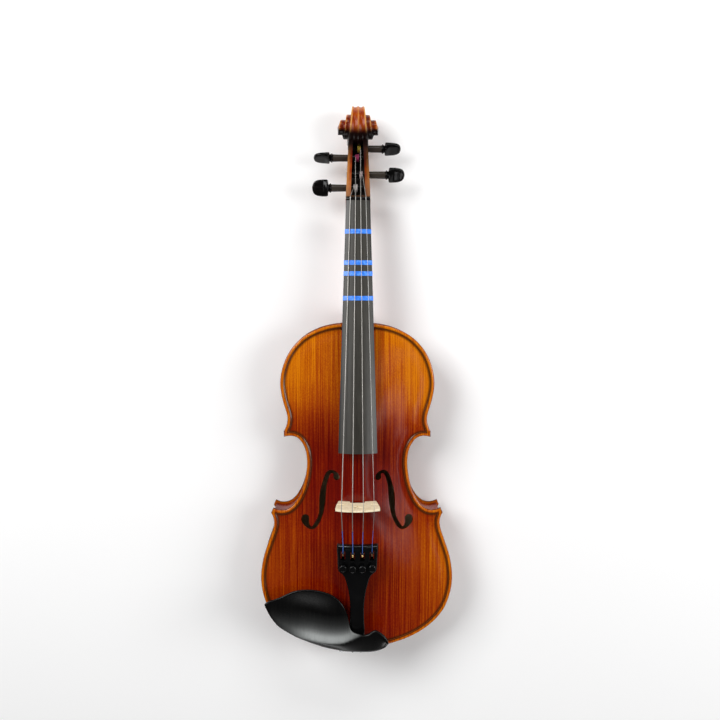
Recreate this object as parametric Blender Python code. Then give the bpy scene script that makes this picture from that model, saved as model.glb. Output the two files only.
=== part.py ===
"""Full-size violin lying on its back, built as its separate pieces.

Units in the tables are millimetres; the helpers turn them into metres.
Plan coordinates: x to the treble side, y from the tail end of the body
toward the scroll, z out of the belly, with z = 0 at the back arch apex.
The part origin is the back arch apex, at y = BODY_MID.
"""
import math

import bmesh
import bpy
import numpy as np
from mathutils import Vector, geometry

for old in list(bpy.data.objects):
    bpy.data.objects.remove(old, do_unlink=True)

MM = 0.001
BODY_MID = 178.0
GAP = 0.3

# body levels
RIB_LOW = 15.0
RIB_TOP = 46.0
EDGE_TOP = 50.0
EDGE_BACK = 11.0
BELLY_RISE = 12.0
BACK_DROP = 11.75

# body outline, one half, as three arcs that meet at the corner tips
LOWER_ARC = [(0, 0), (17.5, 1.15), (35, 4.6), (52.5, 10.2), (68.5, 18), (80.5, 26.5), (89.5, 35.5),
             (96.5, 45.5), (101, 56.5), (103.8, 68), (104.8, 80), (103.9, 92), (101.2, 105.5),
             (96.8, 119), (92.6, 131), (90.4, 139.5), (90.8, 146), (93.4, 152.6)]
WAIST_ARC = [(91.0, 158.1), (86.5, 156.2), (81.5, 155.6), (76.5, 156.5), (71.8, 159.3),
             (67.0, 164.4), (62.8, 171.4), (59.4, 179.6), (56.9, 188.4), (55.2, 197.5),
             (54.4, 206.5), (54.7, 214.5), (56.3, 222.5), (59.3, 228.9), (63.5, 234),
             (68.2, 236.5), (73.5, 236.9), (79.3, 236.0)]
UPPER_ARC = [(79.3, 242), (76.8, 247.5), (75.4, 253.5), (75.8, 260), (77.8, 267), (80, 274.5),
             (81.7, 282), (82.8, 290), (82.8, 298), (81.3, 307.5), (78.2, 317.5), (73, 328),
             (66, 337), (57.5, 344.6), (47.5, 350.4), (36.5, 354.6), (24, 357.3), (12, 358.3),
             (0, 358.5)]
# foot of the arching, one half
ARCH_FOOT = [(0, 7), (25, 8.6), (45, 14), (68, 26), (85, 44), (93.5, 66), (93, 92), (84, 120),
             (69, 146), (56, 167), (49.5, 186), (47.5, 206), (50.5, 224), (59, 243), (68, 262),
             (73.5, 284), (72, 306), (62, 328), (44, 343), (22, 350.5), (0, 352)]
# treble f-hole
F_HOLE = [(19.4, 194.3), (20.7, 197.2), (24, 199.9), (28.5, 200.8), (32, 199.2), (34.6, 195.5),
          (36.4, 190.9), (38.1, 185.2), (39.7, 179.1), (40.7, 172.9), (41.1, 165.7), (41.1, 158.6),
          (41.5, 153.4), (42.9, 148.3), (45.3, 143.7), (48, 139.6), (49.6, 137.8), (51.5, 140.5),
          (52.3, 143.8), (52, 147.5), (53.4, 150.2), (56.3, 151.2), (59.3, 149.7), (60.6, 146.5),
          (60, 142.5), (57.3, 138.8), (53.5, 136), (49.2, 134.9), (45.3, 136.6), (42, 140.6),
          (39.2, 146.2), (37, 152.4), (35.4, 159.6), (34.4, 166.8), (33.9, 174), (33.4, 180.1),
          (32.6, 185.7), (31, 191.4), (29.3, 195.7), (27.5, 197.2), (25.6, 196.4), (25.8, 193.8),
          (24.7, 191), (22.3, 190), (19.9, 191.4)]

BUTTON_HALF = 10.5
BUTTON_END = 370.5
NECK_ROOT_Y = 352.0
NECK_ROOT_HALF = 16.7

# fingerboard, nut and strings
NUT_Y = 488.5
BOARD_END_Y = 223.5
BOARD_TOP_AT_NUT = 48.7
BOARD_SLOPE = 0.1225
GLUE_AT_NUT = 42.0
GLUE_SLOPE = 0.1115
BOARD_RADIUS = 42.0
BRIDGE_Y = 166.0
CROWN_Z = 93.2
NUT_X = {"g": -8.25, "d": -2.75, "a": 2.75, "e": 8.25}
CROWN_X = {"g": -17.0, "d": -5.7, "a": 5.7, "e": 17.0}
TUNER_X = {"g": -15.3, "d": -5.1, "a": 5.1, "e": 15.3}
STRING_RADIUS = {"g": 0.42, "d": 0.4, "a": 0.36, "e": 0.22}
TAPE_Y = [455.6, 422.7, 411.2, 385.3]
TAPE_WIDTH = 4.8

# pegs: side, y, z, collar distance from the mid plane, head turn in degrees
PEGS = {"g": (-1, 502.6, 36.0, 31.4, 5.0), "e": (1, 517.0, 33.5, 32.4, 45.0),
        "d": (-1, 535.5, 28.5, 30.0, 70.0), "a": (1, 545.6, 27.0, 28.5, 60.0)}
PEG_WIND_X = {"g": -4.6, "d": -2.8, "a": 2.8, "e": 4.8}
VOLUTE_Y = 566.8
VOLUTE_Z = 28.0


# ---------------------------------------------------------------- helpers
def material(name, rgb, rough, metal=0.0):
    made = bpy.data.materials.new(name)
    made.use_nodes = True
    shader = made.node_tree.nodes["Principled BSDF"]
    shader.inputs["Base Color"].default_value = (rgb[0], rgb[1], rgb[2], 1.0)
    shader.inputs["Roughness"].default_value = rough
    shader.inputs["Metallic"].default_value = metal
    made.diffuse_color = (rgb[0], rgb[1], rgb[2], 1.0)
    return made


def world(point):
    return Vector((point[0] * MM, (point[1] - BODY_MID) * MM, point[2] * MM))


def put(name, verts, faces, look, origin=(0.0, BODY_MID, 0.0)):
    """One closed body from points in millimetres, origin where its joint is."""
    base = world(origin)
    mesh = bpy.data.meshes.new(name)
    mesh.from_pydata([world(v) - base for v in verts], [], [list(f) for f in faces])
    mesh.update()
    work = bmesh.new()
    work.from_mesh(mesh)
    bmesh.ops.remove_doubles(work, verts=work.verts, dist=1e-7)
    bmesh.ops.recalc_face_normals(work, faces=work.faces)
    work.to_mesh(mesh)
    work.free()
    made = bpy.data.objects.new(name, mesh)
    made.location = base
    bpy.context.scene.collection.objects.link(made)
    if look is not None:
        mesh.materials.append(look)
    return made


def boolean(target, tool, operation):
    """Join or cut with another closed mesh, then drop the tool."""
    step = target.modifiers.new(operation, "BOOLEAN")
    step.operation = operation
    step.solver = "EXACT"
    step.object = tool
    bpy.context.view_layer.update()
    graph = bpy.context.evaluated_depsgraph_get()
    result = bpy.data.meshes.new_from_object(target.evaluated_get(graph))
    target.modifiers.remove(step)
    looks = list(target.data.materials)
    target.data = result
    result.materials.clear()
    for look in looks:
        result.materials.append(look)
    for face in result.polygons:
        face.material_index = 0
    work = bmesh.new()
    work.from_mesh(result)
    bmesh.ops.remove_doubles(work, verts=work.verts, dist=2e-6)
    bmesh.ops.dissolve_degenerate(work, edges=work.edges, dist=2e-6)
    work.to_mesh(result)
    work.free()
    bpy.data.objects.remove(tool, do_unlink=True)


def spline(points, count):
    """Natural cubic through the points, returned at equal steps of length."""
    p = np.asarray(points, float)
    h = np.linalg.norm(np.diff(p, axis=0), axis=1)
    n = len(p)
    left = np.eye(n)
    right = np.zeros_like(p)
    for i in range(1, n - 1):
        left[i, i - 1] = h[i - 1]
        left[i, i] = 2 * (h[i - 1] + h[i])
        left[i, i + 1] = h[i]
        right[i] = 6 * ((p[i + 1] - p[i]) / h[i] - (p[i] - p[i - 1]) / h[i - 1])
    m = np.linalg.solve(left, right)
    dense = [p[0]]
    for i in range(n - 1):
        for k in range(1, 17):
            t = h[i] * k / 16
            b = (p[i + 1] - p[i]) / h[i] - h[i] * (2 * m[i] + m[i + 1]) / 6
            dense.append(p[i] + t * (b + t * (m[i] / 2 + t * (m[i + 1] - m[i]) / (6 * h[i]))))
    return resample(np.array(dense), count)


def resample(points, count):
    p = np.asarray(points, float)
    run = np.concatenate([[0], np.cumsum(np.linalg.norm(np.diff(p, axis=0), axis=1))])
    at = np.linspace(0, run[-1], count + 1)
    return np.stack([np.interp(at, run, p[:, k]) for k in range(p.shape[1])], axis=1)


def mirrored(points):
    return [(-x, y) for x, y in reversed(list(points))]


def offset(points, distance):
    """Move an open line to its left by a distance."""
    p = np.asarray(points, float)
    run = np.gradient(p, axis=0)
    run = run / np.linalg.norm(run, axis=1)[:, None]
    return p + distance * np.stack([-run[:, 1], run[:, 0]], axis=1)


def keep(points, inside):
    """The stretch of a line where inside(point) >= 0, with its cut ends."""
    p = [np.asarray(q, float) for q in points]
    value = [inside(q) for q in p]
    out = []
    for i in range(len(p)):
        if value[i] >= 0:
            out.append(p[i])
        if i + 1 < len(p) and (value[i] >= 0) != (value[i + 1] >= 0):
            t = value[i] / (value[i] - value[i + 1])
            out.append(p[i] + t * (p[i + 1] - p[i]))
    return np.array(out)


def in_polygon(x, y, polygon):
    inside = np.zeros(x.shape, bool)
    q = np.asarray(polygon, float)
    for a, b in zip(q, np.roll(q, -1, axis=0)):
        crossing = (a[1] > y) != (b[1] > y)
        dy = b[1] - a[1] if b[1] != a[1] else 1e-12
        inside ^= crossing & (x < (b[0] - a[0]) * (y - a[1]) / dy + a[0])
    return inside


def edge_distance(x, y, polygon):
    q = np.asarray(polygon, float)
    best = np.full(x.shape, 1e9)
    for a, b in zip(q, np.roll(q, -1, axis=0)):
        d = b - a
        t = np.clip(((x - a[0]) * d[0] + (y - a[1]) * d[1]) / max(d @ d, 1e-12), 0, 1)
        best = np.minimum(best, np.hypot(x - a[0] - t * d[0], y - a[1] - t * d[1]))
    return best


def slab(name, outline, holes, extra, upper, lower, place, look, origin=(0.0, BODY_MID, 0.0)):
    """A sheet between two height fields over a 2D outline with holes."""
    loops = [list(map(tuple, outline))] + [list(map(tuple, h)) for h in holes]
    coords = []
    edges = []
    for loop in loops:
        first = len(coords)
        coords.extend(loop)
        edges.extend((first + i, first + (i + 1) % len(loop)) for i in range(len(loop)))
    coords.extend(map(tuple, extra))
    found = geometry.delaunay_2d_cdt([Vector(c) for c in coords], edges, [], 0, 1e-5)
    spots = np.array([tuple(v) for v in found[0]])
    tris = [tuple(f) for f in found[2]]
    mid = np.array([spots[list(t)].mean(axis=0) for t in tris])
    ok = in_polygon(mid[:, 0], mid[:, 1], loops[0])
    for loop in loops[1:]:
        ok &= ~in_polygon(mid[:, 0], mid[:, 1], loop)
    kept = []
    for good, t in zip(ok, tris):
        if good:
            a, b, c = (spots[i] for i in t)
            turn = (b[0] - a[0]) * (c[1] - a[1]) - (b[1] - a[1]) * (c[0] - a[0])
            kept.append(t if turn > 0 else (t[0], t[2], t[1]))
    used = sorted({i for t in kept for i in t})
    index = {old: new for new, old in enumerate(used)}
    spots = spots[used]
    kept = [tuple(index[i] for i in t) for t in kept]
    high = upper(spots[:, 0], spots[:, 1])
    low = lower(spots[:, 0], spots[:, 1])
    count = len(spots)
    verts = [place(s[0], s[1], z) for s, z in zip(spots, high)]
    verts += [place(s[0], s[1], z) for s, z in zip(spots, low)]
    faces = list(kept) + [(a + count, c + count, b + count) for a, b, c in kept]
    directed = {(t[k], t[(k + 1) % 3]) for t in kept for k in range(3)}
    for a, b in sorted(directed):
        if (b, a) not in directed:
            faces.append((b, a, a + count, b + count))
    return put(name, verts, faces, look, origin)


def plan(x, y, z):
    return (x, y, z)


def loft(name, rings, look, origin=(0.0, BODY_MID, 0.0)):
    """A closed body through equal rings of points, with flat ends."""
    size = len(rings[0])
    verts = [tuple(p) for ring in rings for p in ring]
    faces = []
    for r in range(len(rings) - 1):
        for k in range(size):
            n = (k + 1) % size
            faces.append((r * size + k, r * size + n, (r + 1) * size + n, (r + 1) * size + k))
    faces.append(tuple(range(size - 1, -1, -1)))
    faces.append(tuple((len(rings) - 1) * size + k for k in range(size)))
    return put(name, verts, faces, look, origin)


def ellipse(centre, u, v, a, b, count):
    c = np.asarray(centre, float)
    u = np.asarray(u, float)
    v = np.asarray(v, float)
    turn = [2 * math.pi * k / count for k in range(count)]
    return [c + a * math.cos(t) * u + b * math.sin(t) * v for t in turn]


def tube(name, path, radius, count, look, origin=(0.0, BODY_MID, 0.0)):
    """A round bar along a path of points."""
    p = np.asarray(path, float)
    run = np.diff(p, axis=0)
    run = run / np.linalg.norm(run, axis=1)[:, None]
    at = [run[0]] + [(run[i] + run[i + 1]) for i in range(len(run) - 1)] + [run[-1]]
    side = np.cross(run[0], [0.13, 0.21, 0.97])
    rings = []
    for q, t in zip(p, at):
        t = t / np.linalg.norm(t)
        side = side - (side @ t) * t
        side = side / np.linalg.norm(side)
        rings.append(ellipse(q, side, np.cross(t, side), radius, radius, count))
    return loft(name, rings, look, origin)


def turned(name, axis_point, direction, profile, count, look, origin=None):
    """A turned body: (distance along the axis, radius) pairs."""
    a = np.asarray(axis_point, float)
    d = np.asarray(direction, float)
    side = np.cross(d, [0, 0, 1]) if abs(d[2]) < 0.9 else np.array([1.0, 0, 0])
    side = side / np.linalg.norm(side)
    other = np.cross(d, side)
    rings = [ellipse(a + d * s, side, other, r, r, count) for s, r in profile]
    return loft(name, rings, look, origin if origin is not None else tuple(a))


def pipe(name, axis_point, length, outer, inner, count, look):
    """An upright tube with a through bore."""
    x, y, z = axis_point
    rings = []
    for radius, height in [(outer, 0), (outer, length), (inner, length), (inner, 0)]:
        rings.append(ellipse((x, y, z + height), (1, 0, 0), (0, 1, 0), radius, radius, count))
    verts = [tuple(p) for ring in rings for p in ring]
    faces = []
    for r in range(4):
        s = (r + 1) % 4
        for k in range(count):
            n = (k + 1) % count
            faces.append((r * count + k, r * count + n, s * count + n, s * count + k))
    return put(name, verts, faces, look, axis_point)


def prism(name, polygon, z0, z1, look, origin=(0.0, BODY_MID, 0.0)):
    return slab(name, polygon, [], [], lambda x, y: np.full(x.shape, z1),
                lambda x, y: np.full(x.shape, z0), plan, look, origin)


def strip(name, outer_low, inner_low, outer_high, inner_high, z0, z1, look):
    """A bent strip between two lines, each given at both of its levels."""
    rings = []
    for a, b, c, d in zip(outer_low, inner_low, inner_high, outer_high):
        rings.append([(a[0], a[1], z0), (b[0], b[1], z0), (c[0], c[1], z1), (d[0], d[1], z1)])
    return loft(name, rings, look)


def box(name, low, high, look, origin=(0.0, BODY_MID, 0.0)):
    ring0 = [(low[0], low[1], low[2]), (high[0], low[1], low[2]), (high[0], high[1], low[2]),
             (low[0], high[1], low[2])]
    ring1 = [(p[0], p[1], high[2]) for p in ring0]
    return loft(name, [ring0, ring1], look, origin)


# ---------------------------------------------------------------- looks
SPRUCE = material("spruce_varnished", (0.42, 0.13, 0.03), 0.25)
MAPLE = material("maple_varnished", (0.38, 0.14, 0.04), 0.28)
RAW_SPRUCE = material("spruce_raw", (0.70, 0.52, 0.32), 0.7)
RAW_MAPLE = material("maple_raw", (0.78, 0.62, 0.42), 0.6)
EBONY = material("blackened_board", (0.035, 0.035, 0.04), 0.45)
BLACK_WOOD = material("black_wood", (0.012, 0.011, 0.011), 0.35)
BLACK_PLASTIC = material("black_composite", (0.01, 0.01, 0.011), 0.3)
STEEL = material("steel", (0.62, 0.62, 0.64), 0.25, 1.0)
WOUND = material("wound_string", (0.55, 0.55, 0.56), 0.35, 1.0)
TAPE_BLUE = material("tape_blue", (0.05, 0.22, 0.85), 0.4)
CORD = material("tail_cord", (0.02, 0.02, 0.02), 0.5)

# ---------------------------------------------------------------- outline
right_waist = spline(WAIST_ARC, 18)
upper_arc = spline(UPPER_ARC + mirrored(UPPER_ARC)[1:], 48)
left_waist = np.array(mirrored(right_waist))
lower_arc = spline(mirrored(LOWER_ARC) + LOWER_ARC[1:], 64)
foot_line = spline(ARCH_FOOT, 240)
OUTLINE = np.concatenate([right_waist, upper_arc, left_waist, lower_arc])


def notched(arc, half, level):
    """Replace the middle of an arc by a straight notch or tab."""
    first = [p for p in arc[:len(arc) // 2 + 1] if abs(p[0]) > half + 2]
    last = [p for p in arc[len(arc) // 2:] if abs(p[0]) > half + 2]
    side = 1 if first[-1][0] > 0 else -1
    middle = np.array([p for p in arc if abs(p[0]) < half + 12])
    order = np.argsort(middle[:, 0])
    edge = float(np.interp(half, middle[order, 0], middle[order, 1]))
    return np.array(first + [(side * half, edge), (side * half, level), (-side * half, level),
                             (-side * half, edge)] + last)


def arch(x, y):
    """Share of the full arch height at a spot of the plate, 0 to 1."""
    half = np.interp(y, foot_line[:, 1], foot_line[:, 0])
    half = np.maximum(half, 1e-3)
    cross = np.where(np.abs(x) < half, 0.5 + 0.5 * np.cos(np.pi * np.minimum(np.abs(x) / half, 1)), 0)
    run = np.abs((y - 179.5) / 172.5)
    return cross * np.clip(1 - run ** 2.5, 0, 1)


def belly_top(x, y):
    return EDGE_TOP + BELLY_RISE * arch(x, y)


def belly_under(x, y):
    inner = np.clip((edge_distance(x, y, OUTLINE) - 10) / 8, 0, 1)
    return RIB_TOP + inner * np.maximum(belly_top(x, y) - 3.0 - RIB_TOP, 0)


def back_under(x, y):
    return np.maximum(EDGE_BACK - BACK_DROP * arch(x, y), 0)


def back_top(x, y):
    inner = np.clip((edge_distance(x, y, OUTLINE) - 10) / 8, 0, 1)
    return RIB_LOW - inner * np.maximum(RIB_LOW - back_under(x, y) - 3.4, 0)


def single(field, x, y):
    return float(field(np.array([float(x)]), np.array([float(y)]))[0])


def plate_points(step, holes):
    """Inner points of a plate: a grid kept clear of the outline and holes."""
    xs, ys = np.meshgrid(np.arange(-108, 108.1, step), np.arange(4, 356, step))
    x, y = xs.ravel(), ys.ravel()
    ok = in_polygon(x, y, OUTLINE) & (edge_distance(x, y, OUTLINE) > 12.5)
    for hole in holes:
        ok &= ~in_polygon(x, y, hole) & (edge_distance(x, y, hole) > 3.5)
    ring = []
    for arc in (right_waist, upper_arc, left_waist, lower_arc):
        line = offset(arc, 9.0)
        far = edge_distance(line[:, 0], line[:, 1], OUTLINE) > 8.8
        ring.extend(line[far])
    return list(zip(x[ok], y[ok])) + [tuple(p) for p in ring]


treble_f = [tuple(p) for p in F_HOLE]
bass_f = [(-x, y) for x, y in treble_f]

belly_outline = np.concatenate([right_waist, notched(upper_arc, NECK_ROOT_HALF + GAP, NECK_ROOT_Y - GAP),
                                left_waist, notched(lower_arc, 18.1, 7.3)])
slab("top_plate", belly_outline, [treble_f, bass_f], plate_points(12.0, [treble_f, bass_f]),
     belly_top, belly_under, plan, SPRUCE)

tab = [(math.cos(t) * BUTTON_HALF, 360 + math.sin(t) * (BUTTON_END - 360))
       for t in np.linspace(0, math.pi, 13)]
first_half = [p for p in upper_arc[:25] if p[0] > BUTTON_HALF + 2]
second_half = [p for p in upper_arc[24:] if p[0] < -BUTTON_HALF - 2]
back_outline = np.concatenate([right_waist, first_half, [(BUTTON_HALF, 358.4)], tab,
                               [(-BUTTON_HALF, 358.4)], second_half, left_waist, lower_arc])
rest_flat = [(x, y) for x in (-7.0, 7.0) for y in np.arange(142.0, 220.0, 12.0)]
slab("back_plate", back_outline, [], plate_points(12.0, []) + rest_flat, back_top, back_under, plan, MAPLE)

# ---------------------------------------------------------------- ribs, blocks and linings
RIB_OUT = 2.5
RIB_IN = 3.7
LINE_OUT = 4.0
LINE_IN = 6.0
Z0 = RIB_LOW + GAP
Z1 = RIB_TOP - GAP

UP_TIP = np.array([79.3, 239.0])
UP_IN = np.array([-1.0, -0.02])
LOW_TIP = np.array([92.2, 155.3])
LOW_IN = np.array([-0.74, -0.67])


def above_line(tip, along, side, margin):
    normal = np.array([along[1], -along[0]]) * side
    normal = normal / np.linalg.norm(normal)
    return lambda q: float((q - tip) @ normal) - margin


over_up = above_line(UP_TIP, UP_IN, 1, 0.15)
under_up = above_line(UP_TIP, UP_IN, -1, 0.15)
over_low = above_line(LOW_TIP, LOW_IN, 1, 0.15)
under_low = above_line(LOW_TIP, LOW_IN, -1, 0.15)


def tip_clear(tip, limit):
    """Keeps a line back from the very tip of a corner."""
    out = np.array([1.0, 0.12]) if tip is UP_TIP else np.array([0.75, 0.66])
    return lambda q: limit - float((q - tip) @ out) if np.hypot(*(q - tip)) < 12 else 5.0


def both(*tests):
    return lambda q: min(t(q) for t in tests)


def flip(points):
    return [(-p[0], p[1]) for p in points]


def add_strip(name, arc, inside, depth0, depth1, z0, z1, count, look, mirror, inside_low=None):
    lows = []
    highs = []
    for depth in (depth0, depth1):
        line = offset(arc, depth)
        highs.append(resample(keep(line, inside), count))
        lows.append(resample(keep(line, inside_low or inside), count))
    if mirror:
        lows = [flip(line) for line in lows]
        highs = [flip(line) for line in highs]
    return strip(name, lows[0], lows[1], highs[0], highs[1], z0, z1, look)


half_upper = upper_arc[:25]
half_lower = lower_arc[32:]
for side, mirror in (("treble", False), ("bass", True)):
    add_strip("rib_upper_" + side, half_upper,
              both(over_up, tip_clear(UP_TIP, -2.2), lambda q: q[0] - 17.1), RIB_OUT, RIB_IN, Z0, Z1,
              20, MAPLE, mirror,
              both(over_up, tip_clear(UP_TIP, -2.2), lambda q: q[0] - 11.0))
    add_strip("rib_waist_" + side, right_waist,
              both(under_up, over_low, tip_clear(UP_TIP, -2.2), tip_clear(LOW_TIP, -2.4)),
              RIB_OUT, RIB_IN, Z0, Z1, 20, MAPLE, mirror)
add_strip("rib_lower", lower_arc,
          both(lambda q: under_low(np.array([abs(q[0]), q[1]])),
               lambda q: tip_clear(LOW_TIP, -2.4)(np.array([abs(q[0]), q[1]]))),
          RIB_OUT, RIB_IN, Z0, Z1, 56, MAPLE, False)

upper_in = offset(half_upper, LINE_OUT)
waist_in = offset(right_waist, LINE_OUT)
lower_in = offset(half_lower, LINE_OUT)
block_up = list(keep(upper_in, both(over_up, lambda q: 257 - q[1])))
block_up_c = list(keep(waist_in, both(under_up, lambda q: q[1] - 229.5)))
corner_up = [tuple(p) for p in block_up_c] + [tuple(p) for p in block_up]
block_low = list(keep(lower_in, both(under_low, lambda q: q[1] - 130)))
block_low_c = list(keep(waist_in, both(over_low, lambda q: 160 - q[1])))
corner_low = [tuple(p) for p in block_low] + [tuple(p) for p in block_low_c] + [(72.5, 144.0)]
for side, mirror in (("treble", False), ("bass", True)):
    prism("corner_block_upper_" + side, flip(corner_up) if mirror else corner_up, Z0, Z1, RAW_SPRUCE)
    prism("corner_block_lower_" + side, flip(corner_low) if mirror else corner_low, Z0, Z1, RAW_SPRUCE)

top_in = keep(upper_in, lambda q: both(lambda p: 26 - p[0], lambda p: p[0] - 17.2)(q))
top_left = [(-p[0], p[1]) for p in reversed(list(top_in))]
neck_block = [tuple(p) for p in top_in] + [(17.2, 351.7), (-17.2, 351.7)] + top_left
neck_block += [(-26.0, 334.0), (26.0, 334.0)]
prism("neck_block", neck_block, Z0, Z1, RAW_SPRUCE)
tail_in = keep(offset(lower_arc, LINE_OUT), lambda q: 25 - abs(q[0]))
end_block = [tuple(p) for p in tail_in] + [(25.0, 20.0), (-25.0, 20.0)]
prism("end_block", end_block, Z0, Z1, RAW_SPRUCE)

for level, z0, z1 in (("back", Z0, Z0 + 7), ("top", Z1 - 7, Z1)):
    for side, mirror in (("treble", False), ("bass", True)):
        add_strip("lining_upper_" + level + "_" + side, half_upper,
                  both(lambda q: q[1] - 258.5, lambda q: q[0] - 26.4), LINE_OUT, LINE_IN, z0, z1,
                  14, RAW_SPRUCE, mirror)
        add_strip("lining_waist_" + level + "_" + side, right_waist,
                  both(lambda q: q[1] - 162.0, lambda q: 228.2 - q[1]), LINE_OUT, LINE_IN, z0, z1,
                  8, RAW_SPRUCE, mirror)
        add_strip("lining_lower_" + level + "_" + side, half_lower,
                  both(lambda q: 128.6 - q[1], lambda q: q[0] - 25.4), LINE_OUT, LINE_IN, z0, z1,
                  18, RAW_SPRUCE, mirror)

# bass bar and sound post
BAR_X = -17.0
bar_rings = []
for y in np.linspace(48, 312, 15):
    share = 1 - abs((y - 180) / 133) ** 2.2
    depth = 2.0 + 9.0 * max(share, 0)
    roof = [single(belly_under, BAR_X + dx, y) - 0.75 for dx in (-2.75, 2.75)]
    bar_rings.append([(BAR_X - 2.75, y, roof[0]), (BAR_X - 2.75, y, roof[0] - depth),
                      (BAR_X + 2.75, y, roof[0] - depth), (BAR_X + 2.75, y, roof[1])])
loft("bass_bar", bar_rings, RAW_SPRUCE)

POST_X = 17.0
POST_Y = 156.0
post_low = single(back_top, POST_X, POST_Y) + 0.9
post_high = single(belly_under, POST_X, POST_Y) - 0.9
turned("sound_post", (POST_X, POST_Y, post_low), (0, 0, 1), [(0, 3), (post_high - post_low, 3)], 16,
       RAW_SPRUCE, (0.0, BODY_MID, 0.0))


# ---------------------------------------------------------------- neck and scroll
def glue_plane(y):
    return GLUE_AT_NUT + GLUE_SLOPE * (NUT_Y - y)


def board_half(y):
    return 12.8 + (NUT_Y - y) * 0.029


def board_top(y):
    return BOARD_TOP_AT_NUT + BOARD_SLOPE * (NUT_Y - y)


def sag(x, radius=BOARD_RADIUS):
    return radius - math.sqrt(radius * radius - x * x)


NECK_STATIONS = [(352.0, 15.3, 1.0), (358.6, 15.3, 1.0), (364.5, 15.3, 1.0), (368.6, 15.3, 0.98),
                 (371.0, 20.5, 0.9), (373.2, 27.0, 0.7), (376.0, 33.5, 0.45), (380.0, 37.8, 0.2),
                 (386.0, 39.3, 0.05), (396.0, 38.9, 0.0), (425.0, 36.0, 0.0), (455.0, 33.0, 0.0),
                 (479.0, 30.6, 0.0), (490.1, 29.3, 0.0)]
rings = []
for y, bottom, boxy in NECK_STATIONS:
    top = glue_plane(min(y, NUT_Y))
    half = board_half(y) if y < 480 else board_half(y) + 0.05 * (y - 480)
    foot = BUTTON_HALF + (half - BUTTON_HALF) * (1 - boxy)
    power = 2.25 + 6 * boxy
    right_side = []
    for k in range(9):
        s = math.sin(math.pi / 2 * k / 8)
        z = top + (bottom - top) * s
        taper = 0.0 if z > RIB_TOP else (RIB_TOP - z) / (RIB_TOP - 15.3)
        wide = half + (foot - half) * taper * boxy
        wide = wide * max(1 - s ** power, 0) ** (1 / power) if k < 8 else 0.35 * wide * (0.3 + boxy)
        right_side.append((wide, y, z))
    rings.append(right_side + [(-p[0], p[1], p[2]) for p in reversed(right_side)])
neck = loft("neck", rings, MAPLE)


def volute(angle_deg):
    """Outer radius of the volute; 0 is at the top of its first turn."""
    return 23.4 * 0.62 ** (angle_deg / 360.0)


def volute_point(angle_deg):
    r = volute(angle_deg)
    t = math.radians(angle_deg)
    return (VOLUTE_Y + r * math.cos(t), VOLUTE_Z + r * math.sin(t))


head_side = [(486.1, 41.2), (493.0, 41.5), (493.1, 43.9), (503, 43.7), (518, 42.6), (531, 41.3),
             (542, 39.8), (550.5, 38.6), (554.5, 39.8)]
head_side += [volute_point(a) for a in (118, 104, 90, 75, 60, 45, 30, 15, 0, -15, -30, -45, -60, -75,
                                        -90, -103)]
head_side += [(552.5, 3.8), (543, 8.2), (533, 12.8), (523, 17.2), (512, 21.5), (500, 25.4),
              (492, 27.8), (486.1, 29.3)]


def head_half(y):
    return np.interp(y, [486, 493, 549, 560, 575, 590], [13.1, 13.1, 10.4, 9.9, 8.2, 6.4])


head = slab("head", [(y, z) for y, z in reversed(head_side)], [], [(536.0, 26.0), (566.8, 28.0)],
            lambda y, z: head_half(y), lambda y, z: -head_half(y), lambda y, z, x: (x, y, z), MAPLE)
STEPS = [(-22.0, 6.4), (-19.0, 6.9), (-18.8, 9.2), (-15.2, 10.2), (-15.0, 12.8), (-11.5, 13.6),
         (-11.3, 16.1), (11.3, 16.1), (11.5, 13.6), (15.0, 12.8), (15.2, 10.2), (18.8, 9.2),
         (19.0, 6.9), (22.0, 6.4)]
turns = turned("turns", (0, VOLUTE_Y, VOLUTE_Z), (1, 0, 0), STEPS, 24, MAPLE)
boolean(head, turns, "UNION")
boolean(neck, head, "UNION")

CAVITY = [(493.6, 7.7, 31.2), (503.0, 7.4, 29.2), (520.0, 6.9, 22.9), (536.0, 6.3, 17.8),
          (551.5, 5.3, 14.4)]
hollow = loft("hollow", [[(-w, y, f), (w, y, f), (w, y, 60), (-w, y, 60)] for y, w, f in CAVITY], None)
boolean(neck, hollow, "DIFFERENCE")



def peg_radius(s):
    """Shaft radius by distance toward the head from the mid plane."""
    return 3.45 + 0.0165 * s


for key, (side, y, z, collar, turn) in PEGS.items():
    bore = turned("bore", (0, y, z), (side, 0, 0),
                  [(-20, peg_radius(-20) + 0.08), (20, peg_radius(20) + 0.08)], 24, None)
    boolean(neck, bore, "DIFFERENCE")

# ---------------------------------------------------------------- fingerboard, tapes and nut
def board_ring(y, lift, half, base):
    xs = [half * math.cos(math.pi * k / 10) for k in range(11)]
    crown = [(x, y, board_top(y) + lift - sag(x)) for x in xs]
    return crown + [(-half, y, base), (half, y, base)]


board_rings = []
for y in np.linspace(BOARD_END_Y, NUT_Y, 9):
    board_rings.append(board_ring(y, 0.0, board_half(y), glue_plane(y) + GAP))
loft("fingerboard", board_rings, EBONY)

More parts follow.
